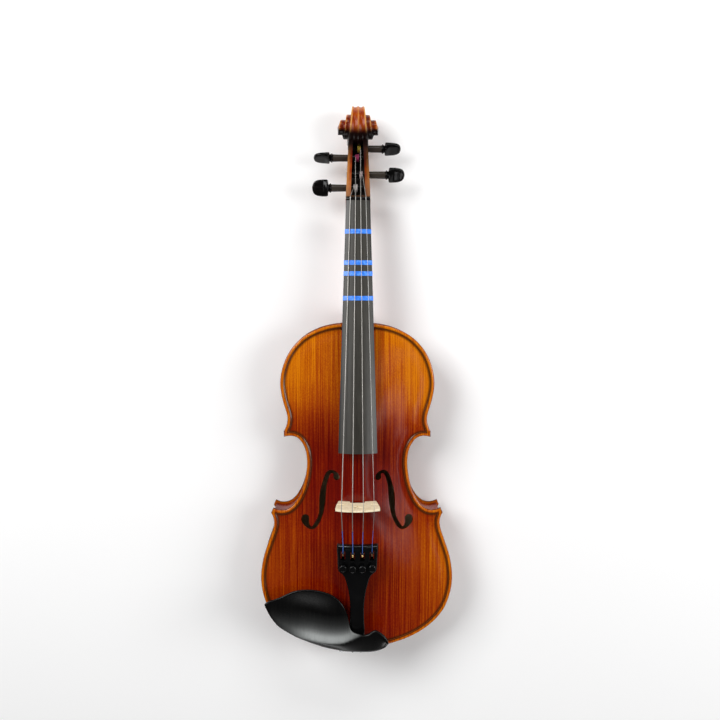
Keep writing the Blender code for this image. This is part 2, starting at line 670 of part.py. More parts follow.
for number, y in enumerate(TAPE_Y, 1):
    y0, y1 = y - TAPE_WIDTH / 2, y + TAPE_WIDTH / 2
    rings = []
    for at in (y0, y1):
        half = board_half(at)
        base = glue_plane(at) + GAP + 1.0
        outer = [(half + 0.35, at, base)]
        inner = [(half + 0.15, at, base)]
        for k in range(11):
            x = half * math.cos(math.pi * k / 10)
            top = board_top(at) - sag(x)
            grow = 1.0 if 0 < k < 10 else (half + 0.35) / half
            shrink = 1.0 if 0 < k < 10 else (half + 0.15) / half
            outer.append((x * grow, at, top + 0.35))
            inner.append((x * shrink, at, top + 0.15))
        outer.append((-half - 0.35, at, base))
        inner.append((-half - 0.15, at, base))
        rings.append((outer, inner))
    count = len(rings[0][0])
    verts = [p for pair in rings for line in pair for p in line]
    faces = []
    for k in range(count - 1):
        a, b = k, k + 1
        o0, i0, o1, i1 = 0, count, 2 * count, 3 * count
        faces.append((o0 + a, o0 + b, o1 + b, o1 + a))
        faces.append((i0 + b, i0 + a, i1 + a, i1 + b))
        faces.append((o0 + b, o0 + a, i0 + a, i0 + b))
        faces.append((o1 + a, o1 + b, i1 + b, i1 + a))
    for k in (0, count - 1):
        faces.append((k, count + k, 3 * count + k, 2 * count + k))
    put("finger_tape_%d" % number, verts, faces, TAPE_BLUE)

NUT_CROWN = 49.4
nut_rings = []
for y, drop in ((488.85, 0.6), (489.5, 0.0), (491.8, 0.5), (492.8, 1.6)):
    xs = [12.8 * math.cos(math.pi * k / 10) for k in range(11)]
    nut_rings.append([(x, y, NUT_CROWN - drop - sag(x)) for x in xs] + [(-12.8, y, 42.35), (12.8, y, 42.35)])
loft("nut", nut_rings, EBONY)

# ---------------------------------------------------------------- pegs
HEAD_SHAPE = [(0.5, 4.8, 3.4), (1.1, 8.0, 4.1), (2.2, 8.9, 4.2), (6.5, 8.95, 3.9), (10.5, 8.5, 3.5),
              (13.8, 7.4, 3.0), (16.0, 5.6, 2.5), (17.2, 3.4, 1.8), (17.7, 1.2, 0.8)]
for key, (side, y, z, collar, turn) in PEGS.items():
    t = math.radians(turn)
    wide = np.array([0, math.cos(t), math.sin(t)])
    thin = np.array([0, -math.sin(t), math.cos(t)])
    far = -float(head_half(y)) - 0.3
    shape = [(far, 0.6), (far + 0.01, peg_radius(far) - 0.3),
             (far + 0.4, peg_radius(far)), (collar - 2.6, peg_radius(collar)),
             (collar - 2.5, 4.5), (collar - 1.2, 4.9), (collar - 0.9, 4.0), (collar - 0.4, 4.4),
             (collar + 0.1, 3.9)]
    rings = [ellipse((side * s, y, z), wide, thin, r, r, 24) for s, r in shape]
    rings += [ellipse((side * (collar + s), y, z), wide, thin, a, b, 24) for s, a, b in HEAD_SHAPE]
    loft("peg_" + key, rings, BLACK_WOOD, (0.0, y, z))

# ---------------------------------------------------------------- bridge
def crown_line(x):
    return CROWN_Z - sag(x) - 0.03 * x


def foot_line_z(x):
    return single(belly_top, x, BRIDGE_Y) + 0.2


def bridge_half(side):
    half = [(7.9, foot_line_z(7.9)), (12.0, foot_line_z(12.0)), (16.5, foot_line_z(16.5)),
            (19.9, foot_line_z(19.9)), (20.3, foot_line_z(20.3) + 1.5), (21.0, 65.5), (21.8, 70.2),
            (19.0, 70.5), (15.6, 70.0), (13.3, 71.0), (12.9, 73.4), (14.6, 75.2), (17.0, 75.0),
            (19.6, 73.0), (22.2, 72.2), (23.2, 76.0), (23.6, 80.2), (23.2, 83.8), (21.8, 87.2),
            (20.4, crown_line(side * 20.4))]
    half += [(x, crown_line(side * x)) for x in (15.5, 10.5, 5.2)]
    return [(side * x, z) for x, z in half]


bridge_outline = bridge_half(1) + [(0.0, crown_line(0))] + list(reversed(bridge_half(-1)))
bridge_outline += [(-8.4, 63.6), (-6.6, 66.4), (-3.6, 67.6), (0.0, 67.2), (3.6, 67.6), (6.6, 66.4),
                   (8.4, 63.6)]
heart = [(0.0, 76.0), (1.9, 78.2), (4.2, 79.6), (4.9, 81.6), (3.9, 83.4), (2.2, 83.9), (0.7, 83.0),
         (0.0, 81.0), (-0.7, 83.0), (-2.2, 83.9), (-3.9, 83.4), (-4.9, 81.6), (-4.2, 79.6), (-1.9, 78.2)]


def bridge_front(x, z):
    return BRIDGE_Y + 2.2 - 1.5 * np.clip((z - 60) / 34, 0, 1) ** 1.4


def bridge_rear(x, z):
    return np.full(x.shape, BRIDGE_Y - 2.1) + 1.2 * np.clip((z - 60) / 34, 0, 1) ** 2


inner = [(0.0, 72.0), (8.0, 72.0), (-8.0, 72.0), (9.0, 84.0), (-9.0, 84.0), (0.0, 89.0), (15.0, 86.0),
         (-15.0, 86.0), (9.0, 78.0), (-9.0, 78.0)]
slab("bridge", bridge_outline, [heart], inner, bridge_front, bridge_rear, lambda x, z, y: (x, y, z),
     RAW_MAPLE)

# ---------------------------------------------------------------- tailpiece
TAIL_HALF = [(0, 15.6), (5.5, 16.2), (7.9, 20), (8.4, 28), (7.7, 39), (7.4, 51), (7.8, 61), (8.9, 70.5),
             (10.4, 78.5), (12.4, 86), (15.6, 91.8), (19.2, 94.6), (20.8, 99.5), (21.3, 109),
             (21.9, 119), (21.7, 126.4), (14, 127), (7, 126.6), (0, 126.4)]


def tail_crown(y):
    return 64.6 + (y - 18) * 0.187


def tail_top(x, y):
    flat = np.interp(y, [15, 60, 95, 128], [26.0, 30.0, 44.0, 46.0])
    ridge = np.where(y > 122.5, 1.0, 0.0)
    return tail_crown(y) - (flat - np.sqrt(flat ** 2 - np.minimum(np.abs(x), 22.5) ** 2)) + ridge


def tail_under(x, y):
    return tail_crown(y) - 5.0 - x * x / 110 - np.interp(y, [15, 40, 90], [0.0, 0.6, 1.4])


def ring_of(x, y, rx, ry, count):
    return [(x + rx * math.cos(2 * math.pi * k / count), y + ry * math.sin(2 * math.pi * k / count))
            for k in range(count)]


TUNER_Y = 102.3
PRONG_Y = 117.6
tail_outline = [(x, y) for x, y in TAIL_HALF] + [(-x, y) for x, y in reversed(TAIL_HALF[1:-1])]
tail_holes = []
for key, x in TUNER_X.items():
    tail_holes.append(ring_of(x, TUNER_Y, 1.64, 1.64, 14))
    tail_holes.append([(x - 2.3, 109.5), (x + 2.3, 109.5), (x + 2.3, 120.2), (x - 2.3, 120.2)])
tail_extra = [(x, y) for y in (24, 34, 45, 56, 66, 75) for x in (-4.0, 0.0, 4.0)]
tail_extra += [(x, y) for y in (84, 92) for x in (-8.0, -3.0, 3.0, 8.0)]
tail_extra += [(x, y) for y in (97, 106.3, 122.4, 122.6) for x in (-20, -10.2, 0.0, 10.2, 20)]
slab("tailpiece", tail_outline, tail_holes, tail_extra, tail_top, tail_under, plan, BLACK_PLASTIC)

for key, x in TUNER_X.items():
    deck = single(tail_top, x, TUNER_Y)
    floor = single(tail_under, x, 110.0) - 0.8
    pivot_z = floor - 1.0
    arm_z = single(tail_under, abs(x) + 2.0, TUNER_Y) - 0.6
    side = [(99.6, arm_z - 1.6), (119.3, pivot_z - 1.2), (119.6, pivot_z + 1.0),
            (119.2, single(tail_top, x, 118) + 1.0), (119.9, single(tail_top, x, 118) + 2.2),
            (118.3, single(tail_top, x, 118) + 2.6), (117.2, single(tail_top, x, 118) + 0.6),
            (116.8, pivot_z + 1.0), (112.0, pivot_z + 0.6), (99.6, arm_z)]
    slab("tuner_lever_" + key, side, [], [], lambda y, z, c=x: np.full(y.shape, c + 1.7),
         lambda y, z, c=x: np.full(y.shape, c - 1.7), lambda y, z, w: (w, y, z), BLACK_PLASTIC,
         (x, PRONG_Y, pivot_z))
    tip = arm_z + 0.3 + 0.25
    profile = [(0.0, 0.9), (0.8, 1.5), (deck + 2.3 - tip, 1.5), (deck + 2.4 - tip, 3.4),
               (deck + 2.9 - tip, 3.9), (deck + 6.4 - tip, 3.9), (deck + 7.2 - tip, 3.2)]
    turned("tuner_screw_" + key, (x, TUNER_Y, tip), (0, 0, 1), profile, 14, BLACK_PLASTIC,
           (x, TUNER_Y, tip))

# ---------------------------------------------------------------- tail end
saddle_side = [(0.4, 46.1), (7.0, 46.1), (7.0, 51.4), (5.6, 56.6), (3.6, 57.8), (1.6, 57.0), (0.4, 54.0)]
saddle_rings = []
for x in (-17.8, -15.2, -12.4, -8.0, 0.0, 8.0, 12.4, 15.2, 17.8):
    end = np.clip((abs(x) - 6) / 11.8, 0, 1)
    low = 5.4 * end * end * (3 - 2 * end)
    saddle_rings.append([(x, y, z - low * max(z - 50.6, 0) / 7.2) for y, z in saddle_side])
loft("saddle", saddle_rings, EBONY)

BUTTON_Z = 30.5
for part in ("rib_lower", "end_block"):
    drill = turned("drill", (0, -10, BUTTON_Z), (0, 1, 0), [(0, 4.15), (40, 4.15)], 20, None)
    boolean(bpy.data.objects[part], drill, "DIFFERENCE")
turned("end_button", (0, 19, BUTTON_Z), (0, -1, 0),
       [(0, 3.4), (16.8, 3.8), (16.9, 6.0), (18.6, 6.4), (19.4, 4.9), (22.6, 4.7), (23.2, 6.6), (25.0, 7.4),
        (28.0, 6.4), (29.4, 3.2), (29.8, 1.0)], 20, BLACK_WOOD, (0.0, BODY_MID, 0.0))
cord_path = [(-3.6, 15.0, 61.6), (-3.9, 9.0, 60.3), (-4.2, 3.6, 59.2), (-4.5, 0.2, 57.2), (-4.9, -1.3, 52.0),
             (-6.3, -2.0, 34.0), (-5.6, -2.0, 27.0), (-3.2, -2.0, 24.6), (0.0, -2.0, 23.9), (3.2, -2.0, 24.6),
             (5.6, -2.0, 27.0), (6.3, -2.0, 34.0), (4.9, -1.3, 52.0), (4.5, 0.2, 57.2), (4.2, 3.6, 59.2),
             (3.9, 9.0, 60.3), (3.6, 15.0, 61.6)]
tube("tail_cord", cord_path, 1.0, 8, CORD)

# ---------------------------------------------------------------- strings
for key, radius in STRING_RADIUS.items():
    side, peg_y, peg_z, collar, turn = PEGS[key]
    nx = NUT_X[key]
    bx = CROWN_X[key]
    nut_z = NUT_CROWN - sag(nx) + radius + 0.15
    crown = crown_line(bx) + radius + 0.2
    tx = TUNER_X[key]
    fret = single(tail_top, tx, 124.0) + radius + 0.25
    hook = single(tail_top, tx, 118) + 1.4
    peg_top = peg_z + peg_radius(0) + radius + 0.3
    path = [(PEG_WIND_X[key], peg_y, peg_top), (nx * 0.96, 493.5, nut_z - 1.6), (nx, 491.2, nut_z),
            (nx, 489.2, nut_z + 0.05), (bx, BRIDGE_Y + 0.7, crown), (bx, BRIDGE_Y - 1.0, crown),
            (tx, 126.4, fret + 0.1), (tx, 123.0, fret), (tx, 120.3, hook)]
    tube("string_" + key, path, radius, 6, STEEL if key == "e" else WOUND)

# ---------------------------------------------------------------- chin rest
REST = [(-99.0, 59.0), (-94.5, 47.5), (-83.5, 33.0), (-66, 20.6), (-49.5, 13.4), (-34.5, 8.4), (-15, 5.1),
        (10, 4.9), (25, 7.7), (33.6, 14.6), (30.6, 23.6), (24.5, 28.8), (19, 30.9), (14, 28.0), (9, 25.6),
        (0, 26.0), (-5.4, 28.4), (-8.0, 34), (-9.2, 40), (-12.2, 51.5), (-17, 60), (-25, 67.2), (-39.6, 73.0),
        (-53.5, 74.6), (-69, 72.2), (-87, 64.4)]
rest_line = spline(REST + [REST[0]], 64)[:-1]


# the dish ends at this crease; below it the skirt and the arm fall to the outline
CREASE = [(-99, 59), (-85, 35.5), (-77.6, 30), (-65.5, 23.5), (-51.6, 19.1), (-36, 15.7), (-22.2, 15.2),
          (-13.5, 17.1), (-4.8, 20.9), (5.6, 24.9), (12.5, 26.1), (19, 27.5), (25, 24.5), (30, 20), (34, 15)]
DISH_DEPTH = 12.0
ARM_THICKNESS = 2.6


def rest_top(x, y):
    crease = np.interp(x, [p[0] for p in CREASE], [p[1] for p in CREASE])
    bottom = np.interp(x, [p[0] for p in REST[:10]], [p[1] for p in REST[:10]])
    level = np.maximum(y, crease)
    along = 0.953 * (x + 52) - 0.304 * (level - 44.5)
    across = 0.304 * (x + 52) + 0.953 * (level - 44.5)
    dish = np.exp(-1.2 * ((along / 51) ** 2 + (across / 29) ** 2)) - 0.25
    fall = 4.2 * np.clip((crease - y) / np.maximum(crease - bottom, 1.0), 0, 1) ** 2.2
    edge = edge_distance(x, y, rest_line)
    rim = 71.5 + 0.036 * np.clip(-x - 30, 0, 80) + 1.4 * np.clip((x + 24) / 12, 0, 1)
    return rim - DISH_DEPTH * dish - fall - 1.4 * np.clip(1 - edge / 2.5, 0, 1)


def rest_under(x, y):
    crease = np.interp(x, [p[0] for p in CREASE], [p[1] for p in CREASE])
    edge = edge_distance(x, y, rest_line)
    return rest_top(x, y) - ARM_THICKNESS - 1.2 * np.clip((y - crease) / 6, 0, 1) * np.clip(edge / 4, 0, 1)


xs, ys = np.meshgrid(np.arange(-98, 34, 8.0), np.arange(8, 74, 7.5))
x, y = xs.ravel(), ys.ravel()
ok = in_polygon(x, y, rest_line) & (edge_distance(x, y, rest_line) > 5.0)
rest = slab("chin_rest", rest_line[::1], [], list(zip(x[ok], y[ok])) + [tuple(p) for p in offset(rest_line, 2.6)],
            rest_top, rest_under, plan, BLACK_WOOD)
for x0, x1, top in ((-38.0, -21.5, 69.0), (21.5, 27.0, 72.8)):
    pad = box("pad", (x0, 13.0, 52.2), (x1, 17.8, top), None)
    boolean(rest, pad, "UNION")

CLAMP_X = 16.5
CLAMP_Y = -2.6
top_half = [(CLAMP_X, CLAMP_Y, 37.5), (CLAMP_X, CLAMP_Y, 50.2), (CLAMP_X, -1.2, 53.3), (CLAMP_X, 0.9, 57.0),
            (CLAMP_X, 3.1, 59.4), (CLAMP_X, 6.0, 60.6), (CLAMP_X - 0.5, 8.2, 62.3), (CLAMP_X - 2.5, 10.0, 63.3)]
top_bar = [(-x, y, z) for x, y, z in top_half] + top_half[::-1]
tube("clamp_top", top_bar, 1.5, 12, STEEL)
low_half = [(CLAMP_X, CLAMP_Y, 34.0), (CLAMP_X, CLAMP_Y, 11.5), (CLAMP_X, -1.6, 9.0), (CLAMP_X, 1.4, 8.2),
            (CLAMP_X - 1.0, 6.0, 8.1), (CLAMP_X - 3.0, 8.2, 8.1)]
low_bar = [(-x, y, z) for x, y, z in low_half] + low_half[::-1]
tube("clamp_foot", low_bar, 1.5, 12, STEEL)
for name, x in (("clamp_barrel_bass", -CLAMP_X), ("clamp_barrel_treble", CLAMP_X)):
    pipe(name, (x, CLAMP_Y, 25.0), 22.0, 2.9, 1.62, 16, STEEL)

print(len(bpy.data.objects), "pieces")
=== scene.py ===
"""Looks for the full-size violin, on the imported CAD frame."""
import math

import bmesh
import bpy
import numpy as np
from mathutils import Matrix, Quaternion, Vector, geometry


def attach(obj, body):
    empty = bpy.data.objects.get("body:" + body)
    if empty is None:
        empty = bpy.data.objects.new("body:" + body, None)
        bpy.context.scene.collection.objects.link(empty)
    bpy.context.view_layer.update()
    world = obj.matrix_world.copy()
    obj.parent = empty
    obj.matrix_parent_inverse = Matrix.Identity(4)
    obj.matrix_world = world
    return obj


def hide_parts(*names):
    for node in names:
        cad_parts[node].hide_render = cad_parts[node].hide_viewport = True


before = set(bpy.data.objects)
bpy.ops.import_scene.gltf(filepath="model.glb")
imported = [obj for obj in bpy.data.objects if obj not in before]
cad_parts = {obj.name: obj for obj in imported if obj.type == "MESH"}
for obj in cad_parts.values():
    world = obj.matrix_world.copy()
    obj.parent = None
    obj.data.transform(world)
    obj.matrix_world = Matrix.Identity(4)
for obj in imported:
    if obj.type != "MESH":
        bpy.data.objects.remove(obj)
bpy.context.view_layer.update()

MM = 0.001
BODY_MID = 178.0
BODY = "violin_body"


# ------------------------------------------------------------------ camera and light
CAMERA_PLACE = (-0.01567, 0.20678, 0.87574)
CAMERA_TURN = (("X", -4.529), ("Y", -1.26), ("Z", 0.107))
WORLD_STRENGTH = 0.06

cam_data = bpy.data.cameras.new("camera")
cam = bpy.data.objects.new("camera", cam_data)
bpy.context.scene.collection.objects.link(cam)
bpy.context.scene.camera = cam
cam_data.sensor_width = 36.0
cam_data.lens = 38.692
tilt, swing, roll = [Matrix.Rotation(math.radians(deg), 3, axis) for axis, deg in CAMERA_TURN]
cam.matrix_world = Matrix.Translation(CAMERA_PLACE) @ (tilt @ swing @ roll).to_4x4()
cam_data.clip_start = 0.01
cam_data.clip_end = 50.0


def area_light(name, spot, target, size_x, size_y, power, spin=0.0):
    """A rectangle of light at a spot, facing a target and spun about that line."""
    data = bpy.data.lights.new(name, "AREA")
    data.shape = "RECTANGLE"
    data.size = size_x
    data.size_y = size_y
    data.energy = power
    made = bpy.data.objects.new(name, data)
    bpy.context.scene.collection.objects.link(made)
    made.location = spot
    made.rotation_mode = "QUATERNION"
    facing = (Vector(target) - Vector(spot)).to_track_quat("-Z", "Y")
    made.rotation_quaternion = facing @ Quaternion((0, 0, 1), math.radians(spin))


area_light("key", (-1.0, 0.85, 1.25), (0, 0.05, 0), 0.9, 0.9, 24.5)
area_light("side", (1.35, 0.25, 1.1), (0, 0.0, 0), 0.7, 1.2, 17.0)
area_light("foot", (-0.1, -2.1, 0.6), (0, -0.1, 0.03), 1.2, 0.5, 9.0)
area_light("head", (0.25, 1.7, 1.1), (0, 0.2, 0), 1.2, 0.5, 10.0)
area_light("veil_low", (0.62, -0.22, 1.2), (0.06, -0.06, 0.05), 0.62, 0.08, 0.34, spin=22.0)
area_light("veil_high", (0.38, 0.24, 1.15), (0.03, 0.14, 0.05), 0.12, 0.34, 0.07)
world = bpy.data.worlds.new("studio")
bpy.context.scene.world = world
world.use_nodes = True
background = world.node_tree.nodes["Background"]
background.inputs["Color"].default_value = (1, 1, 1, 1)
background.inputs["Strength"].default_value = WORLD_STRENGTH
bpy.context.scene.view_settings.view_transform = "Standard"


# ------------------------------------------------------------------ small tools
def place(p):
    return (p[0] * MM, (p[1] - BODY_MID) * MM, p[2] * MM)


def spline(points, count, closed=False):
    """Natural cubic through the points, at equal steps of length."""
    p = np.asarray(points, float)
    if closed:
        p = np.concatenate([p[-4:], p, p[:5]])
    h = np.linalg.norm(np.diff(p, axis=0), axis=1)
    n = len(p)
    left = np.eye(n)
    right = np.zeros_like(p)
    for i in range(1, n - 1):
        left[i, i - 1] = h[i - 1]
        left[i, i] = 2 * (h[i - 1] + h[i])
        left[i, i + 1] = h[i]
        right[i] = 6 * ((p[i + 1] - p[i]) / h[i] - (p[i] - p[i - 1]) / h[i - 1])
    m = np.linalg.solve(left, right)
    dense = [p[0]] if not closed else []
    for i in range(n - 1):
        if closed and not 4 <= i < n - 5:
            continue
        for k in range(1, 25):
            t = h[i] * k / 24
            b = (p[i + 1] - p[i]) / h[i] - h[i] * (2 * m[i] + m[i + 1]) / 6
            dense.append(p[i] + t * (b + t * (m[i] / 2 + t * (m[i + 1] - m[i]) / (6 * h[i]))))
    if closed:
        dense = [dense[-1]] + dense
    return resample(np.array(dense), count)


def resample(points, count):
    """Points at equal steps along a line."""
    p = np.asarray(points, float)
    run = np.concatenate([[0], np.cumsum(np.linalg.norm(np.diff(p, axis=0), axis=1))])
    at = np.linspace(0, run[-1], count + 1)
    return np.stack([np.interp(at, run, p[:, k]) for k in range(p.shape[1])], axis=1)


def mirrored(points):
    return [(-x, y) for x, y in reversed(list(points))]


def offset(points, distance):
    """A line moved to its left."""
    p = np.asarray(points, float)
    run = np.gradient(p, axis=0)
    run = run / np.linalg.norm(run, axis=1)[:, None]
    return p + distance * np.stack([-run[:, 1], run[:, 0]], axis=1)


def keep(points, inside):
    """The part of a line where a test is not negative, cut at its zero."""
    p = [np.asarray(q, float) for q in points]
    value = [inside(q) for q in p]
    out = []
    for i in range(len(p)):
        if value[i] >= 0:
            out.append(p[i])
        if i + 1 < len(p) and (value[i] >= 0) != (value[i + 1] >= 0):
            t = value[i] / (value[i] - value[i + 1])
            out.append(p[i] + t * (p[i + 1] - p[i]))
    return np.array(out)


def in_polygon(x, y, polygon):
    inside = np.zeros(x.shape, bool)
    q = np.asarray(polygon, float)
    for a, b in zip(q, np.roll(q, -1, axis=0)):
        crossing = (a[1] > y) != (b[1] > y)
        dy = b[1] - a[1] if b[1] != a[1] else 1e-12
        inside ^= crossing & (x < (b[0] - a[0]) * (y - a[1]) / dy + a[0])
    return inside


def edge_distance(x, y, polygon):
    q = np.asarray(polygon, float)
    best = np.full(x.shape, 1e9)
    for a, b in zip(q, np.roll(q, -1, axis=0)):
        d = b - a
        t = np.clip(((x - a[0]) * d[0] + (y - a[1]) * d[1]) / max(d @ d, 1e-12), 0, 1)
        best = np.minimum(best, np.hypot(x - a[0] - t * d[0], y - a[1] - t * d[1]))
    return best


def clear(x, y, polygon, gap, inside=True):
    """Which points lie inside (or outside) a polygon, farther than gap from its line."""
    return (in_polygon(x, y, polygon) == inside) & (edge_distance(x, y, polygon) > gap)


def grid(xs, ys):
    x, y = np.meshgrid(xs, ys)
    return x.ravel(), y.ravel()


def strip_faces(rows, size, start=0):
    """Quads between rows of points, size points to a row."""
    return [(a, a + 1, a + 1 + size, a + size) for i in range(rows - 1)
            for a in range(start + i * size, start + (i + 1) * size - 1)]


def between(a, b, t):
    return tuple(a[i] + (b[i] - a[i]) * t for i in range(3))


def flat_at(value):
    return lambda u, v: np.full(u.shape, value)


def as_is(x, y, z):
    return (x, y, z)


def from_side(y, z, x):
    return (x, y, z)


def from_front(x, z, y):
    return (x, y, z)


def tuples(points):
    return [tuple(p) for p in points]


def smooth(t):
    t = np.clip(t, 0, 1)
    return t * t * (3 - 2 * t)


def finish_piece(made, look, body, replaces):
    bpy.context.scene.collection.objects.link(made)
    made.data.materials.clear()
    made.data.materials.append(look)
    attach(made, body)
    if replaces:
        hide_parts(*replaces)
    return made


def mark_sharp(work, angle):
    for edge in work.edges:
        if len(edge.link_faces) == 2 and edge.calc_face_angle(0.0) > math.radians(angle):
            edge.smooth = False
    for face in work.faces:
        face.smooth = True


def mark(mesh, name, values):
    layer = mesh.attributes.new(name, "FLOAT", "POINT")
    layer.data.foreach_set("value", np.asarray(values, dtype=np.float32))


def new_mesh(name, verts, faces):
    """A mesh from points in millimetres."""
    mesh = bpy.data.meshes.new(name)
    mesh.from_pydata([place(v) for v in verts], [], [list(f) for f in faces])
    return mesh


def piece(name, verts, faces, look, body=BODY, replaces=(), slot=None, angle=38.0, bevel=None, **marks):
    """A mesh piece from points in millimetres, smooth except at sharp edges."""
    mesh = new_mesh(name, verts, faces)
    for layer, values in marks.items():
        mark(mesh, layer, values)
    work = bmesh.new()
    work.from_mesh(mesh)
    bmesh.ops.remove_doubles(work, verts=work.verts, dist=1e-7)
    bmesh.ops.recalc_face_normals(work, faces=work.faces)
    if bevel:
        width, steps, limit = bevel
        picked = [e for e in work.edges if len(e.link_faces) == 2
                  and e.calc_face_angle(0.0) > math.radians(limit)]
        bmesh.ops.bevel(work, geom=picked, offset=width * MM, segments=steps, profile=0.5,
                        affect="EDGES", clamp_overlap=True)
    mark_sharp(work, angle)
    work.to_mesh(mesh)
    work.free()
    return finish_piece(bpy.data.objects.new(name, mesh), look, body, replaces)


def loft_data(rings, caps=True):
    size = len(rings[0])
    verts = [tuple(p) for ring in rings for p in ring]
    faces = []
    for r in range(len(rings) - 1):
        for k in range(size):
            n = (k + 1) % size
            faces.append((r * size + k, r * size + n, (r + 1) * size + n, (r + 1) * size + k))
    if caps:
        faces.append(tuple(range(size - 1, -1, -1)))
        faces.append(tuple((len(rings) - 1) * size + k for k in range(size)))
    return verts, faces


def loft(name, rings, look, **more):
    verts, faces = loft_data(rings)
    return piece(name, verts, faces, look, **more)


def ellipse(centre, u, v, a, b, count):
    c = np.asarray(centre, float)
    u = np.asarray(u, float)
    v = np.asarray(v, float)
    turns = [2 * math.pi * k / count for k in range(count)]
    return [c + a * math.cos(t) * u + b * math.sin(t) * v for t in turns]


def tube_rings(path, radius, count):
    p = np.asarray(path, float)
    run = np.diff(p, axis=0)
    run = run / np.linalg.norm(run, axis=1)[:, None]
    at = [run[0]] + [(run[i] + run[i + 1]) for i in range(len(run) - 1)] + [run[-1]]
    side = np.cross(run[0], [0.13, 0.21, 0.97])
    radii = radius if hasattr(radius, "__len__") else [radius] * len(p)
    rings = []
    for q, t, r in zip(p, at, radii):
        t = t / np.linalg.norm(t)
        side = side - (side @ t) * t
        side = side / np.linalg.norm(side)
        rings.append(ellipse(q, side, np.cross(t, side), r, r, count))
    return rings


def tube(name, path, radius, count, look, **more):
    return loft(name, tube_rings(path, radius, count), look, **more)


def turned(name, axis_point, direction, profile, count, look, **more):
    a = np.asarray(axis_point, float)
    d = np.asarray(direction, float)
    side = np.cross(d, [0, 0, 1]) if abs(d[2]) < 0.9 else np.array([1.0, 0, 0])
    side = side / np.linalg.norm(side)
    other = np.cross(d, side)
    return loft(name, [ellipse(a + d * s, side, other, r, r, count) for s, r in profile], look, **more)


def sheet_data(outline, holes, extra):
    """Triangles over a 2D outline with holes; returns spots, triangles, border edges."""
    loops = [list(map(tuple, outline))] + [list(map(tuple, h)) for h in holes]
    coords = []
    edges = []
    for loop in loops:
        first = len(coords)
        coords.extend(loop)
        edges.extend((first + i, first + (i + 1) % len(loop)) for i in range(len(loop)))
    coords.extend(map(tuple, extra))
    found = geometry.delaunay_2d_cdt([Vector(c) for c in coords], edges, [], 0, 1e-5)
    spots = np.array([tuple(v) for v in found[0]])
    tris = np.array([tuple(f) for f in found[2]])
    mid = spots[tris].mean(axis=1)
    ok = in_polygon(mid[:, 0], mid[:, 1], loops[0])
    for loop in loops[1:]:
        ok &= ~in_polygon(mid[:, 0], mid[:, 1], loop)
    tris = tris[ok]
    a, b, c = spots[tris[:, 0]], spots[tris[:, 1]], spots[tris[:, 2]]
    area = (b[:, 0] - a[:, 0]) * (c[:, 1] - a[:, 1]) - (b[:, 1] - a[:, 1]) * (c[:, 0] - a[:, 0])
    tris = np.where((area > 0)[:, None], tris, tris[:, [0, 2, 1]])[np.abs(area) > 1e-9]
    used = np.unique(tris)
    index = np.full(len(spots), -1)
    index[used] = np.arange(len(used))
    spots = spots[used]
    tris = index[tris]
    directed = {(int(t[k]), int(t[(k + 1) % 3])) for t in tris for k in range(3)}
    border = [(a, b) for a, b in sorted(directed) if (b, a) not in directed]
    return spots, [tuple(int(i) for i in t) for t in tris], border


def slab(name, outline, holes, extra, upper, lower, to_xyz, look, **more):
    spots, tris, border = sheet_data(outline, holes, extra)
    high = upper(spots[:, 0], spots[:, 1])
    low = lower(spots[:, 0], spots[:, 1])
    count = len(spots)
    verts = [to_xyz(s[0], s[1], z) for s, z in zip(spots, high)]
    verts += [to_xyz(s[0], s[1], z) for s, z in zip(spots, low)]
    faces = tris + [(a + count, c + count, b + count) for a, b, c in tris]
    faces += [(b, a, a + count, b + count) for a, b in border]
    return piece(name, verts, faces, look, **more)


def boolean(target, tool, operation):
    step = target.modifiers.new(operation, "BOOLEAN")
    step.operation = operation
    step.solver = "EXACT"
    step.object = tool
    bpy.context.view_layer.update()
    graph = bpy.context.evaluated_depsgraph_get()
    result = bpy.data.meshes.new_from_object(target.evaluated_get(graph))
    target.modifiers.remove(step)
    look = target.data.materials[0]
    target.data = result
    result.materials.clear()
    result.materials.append(look)
    for face in result.polygons:
        face.material_index = 0
    work = bmesh.new()
    work.from_mesh(result)
    bmesh.ops.remove_doubles(work, verts=work.verts, dist=2e-6)
    mark_sharp(work, 35)
    work.to_mesh(result)
    work.free()
    bpy.data.objects.remove(tool, do_unlink=True)


def cutter(rings):
    verts, faces = loft_data(rings)
    mesh = new_mesh("cutter", verts, faces)
    work = bmesh.new()
    work.from_mesh(mesh)
    bmesh.ops.recalc_face_normals(work, faces=work.faces)
    work.to_mesh(mesh)
    work.free()
    made = bpy.data.objects.new("cutter", mesh)
    bpy.context.scene.collection.objects.link(made)
    return made


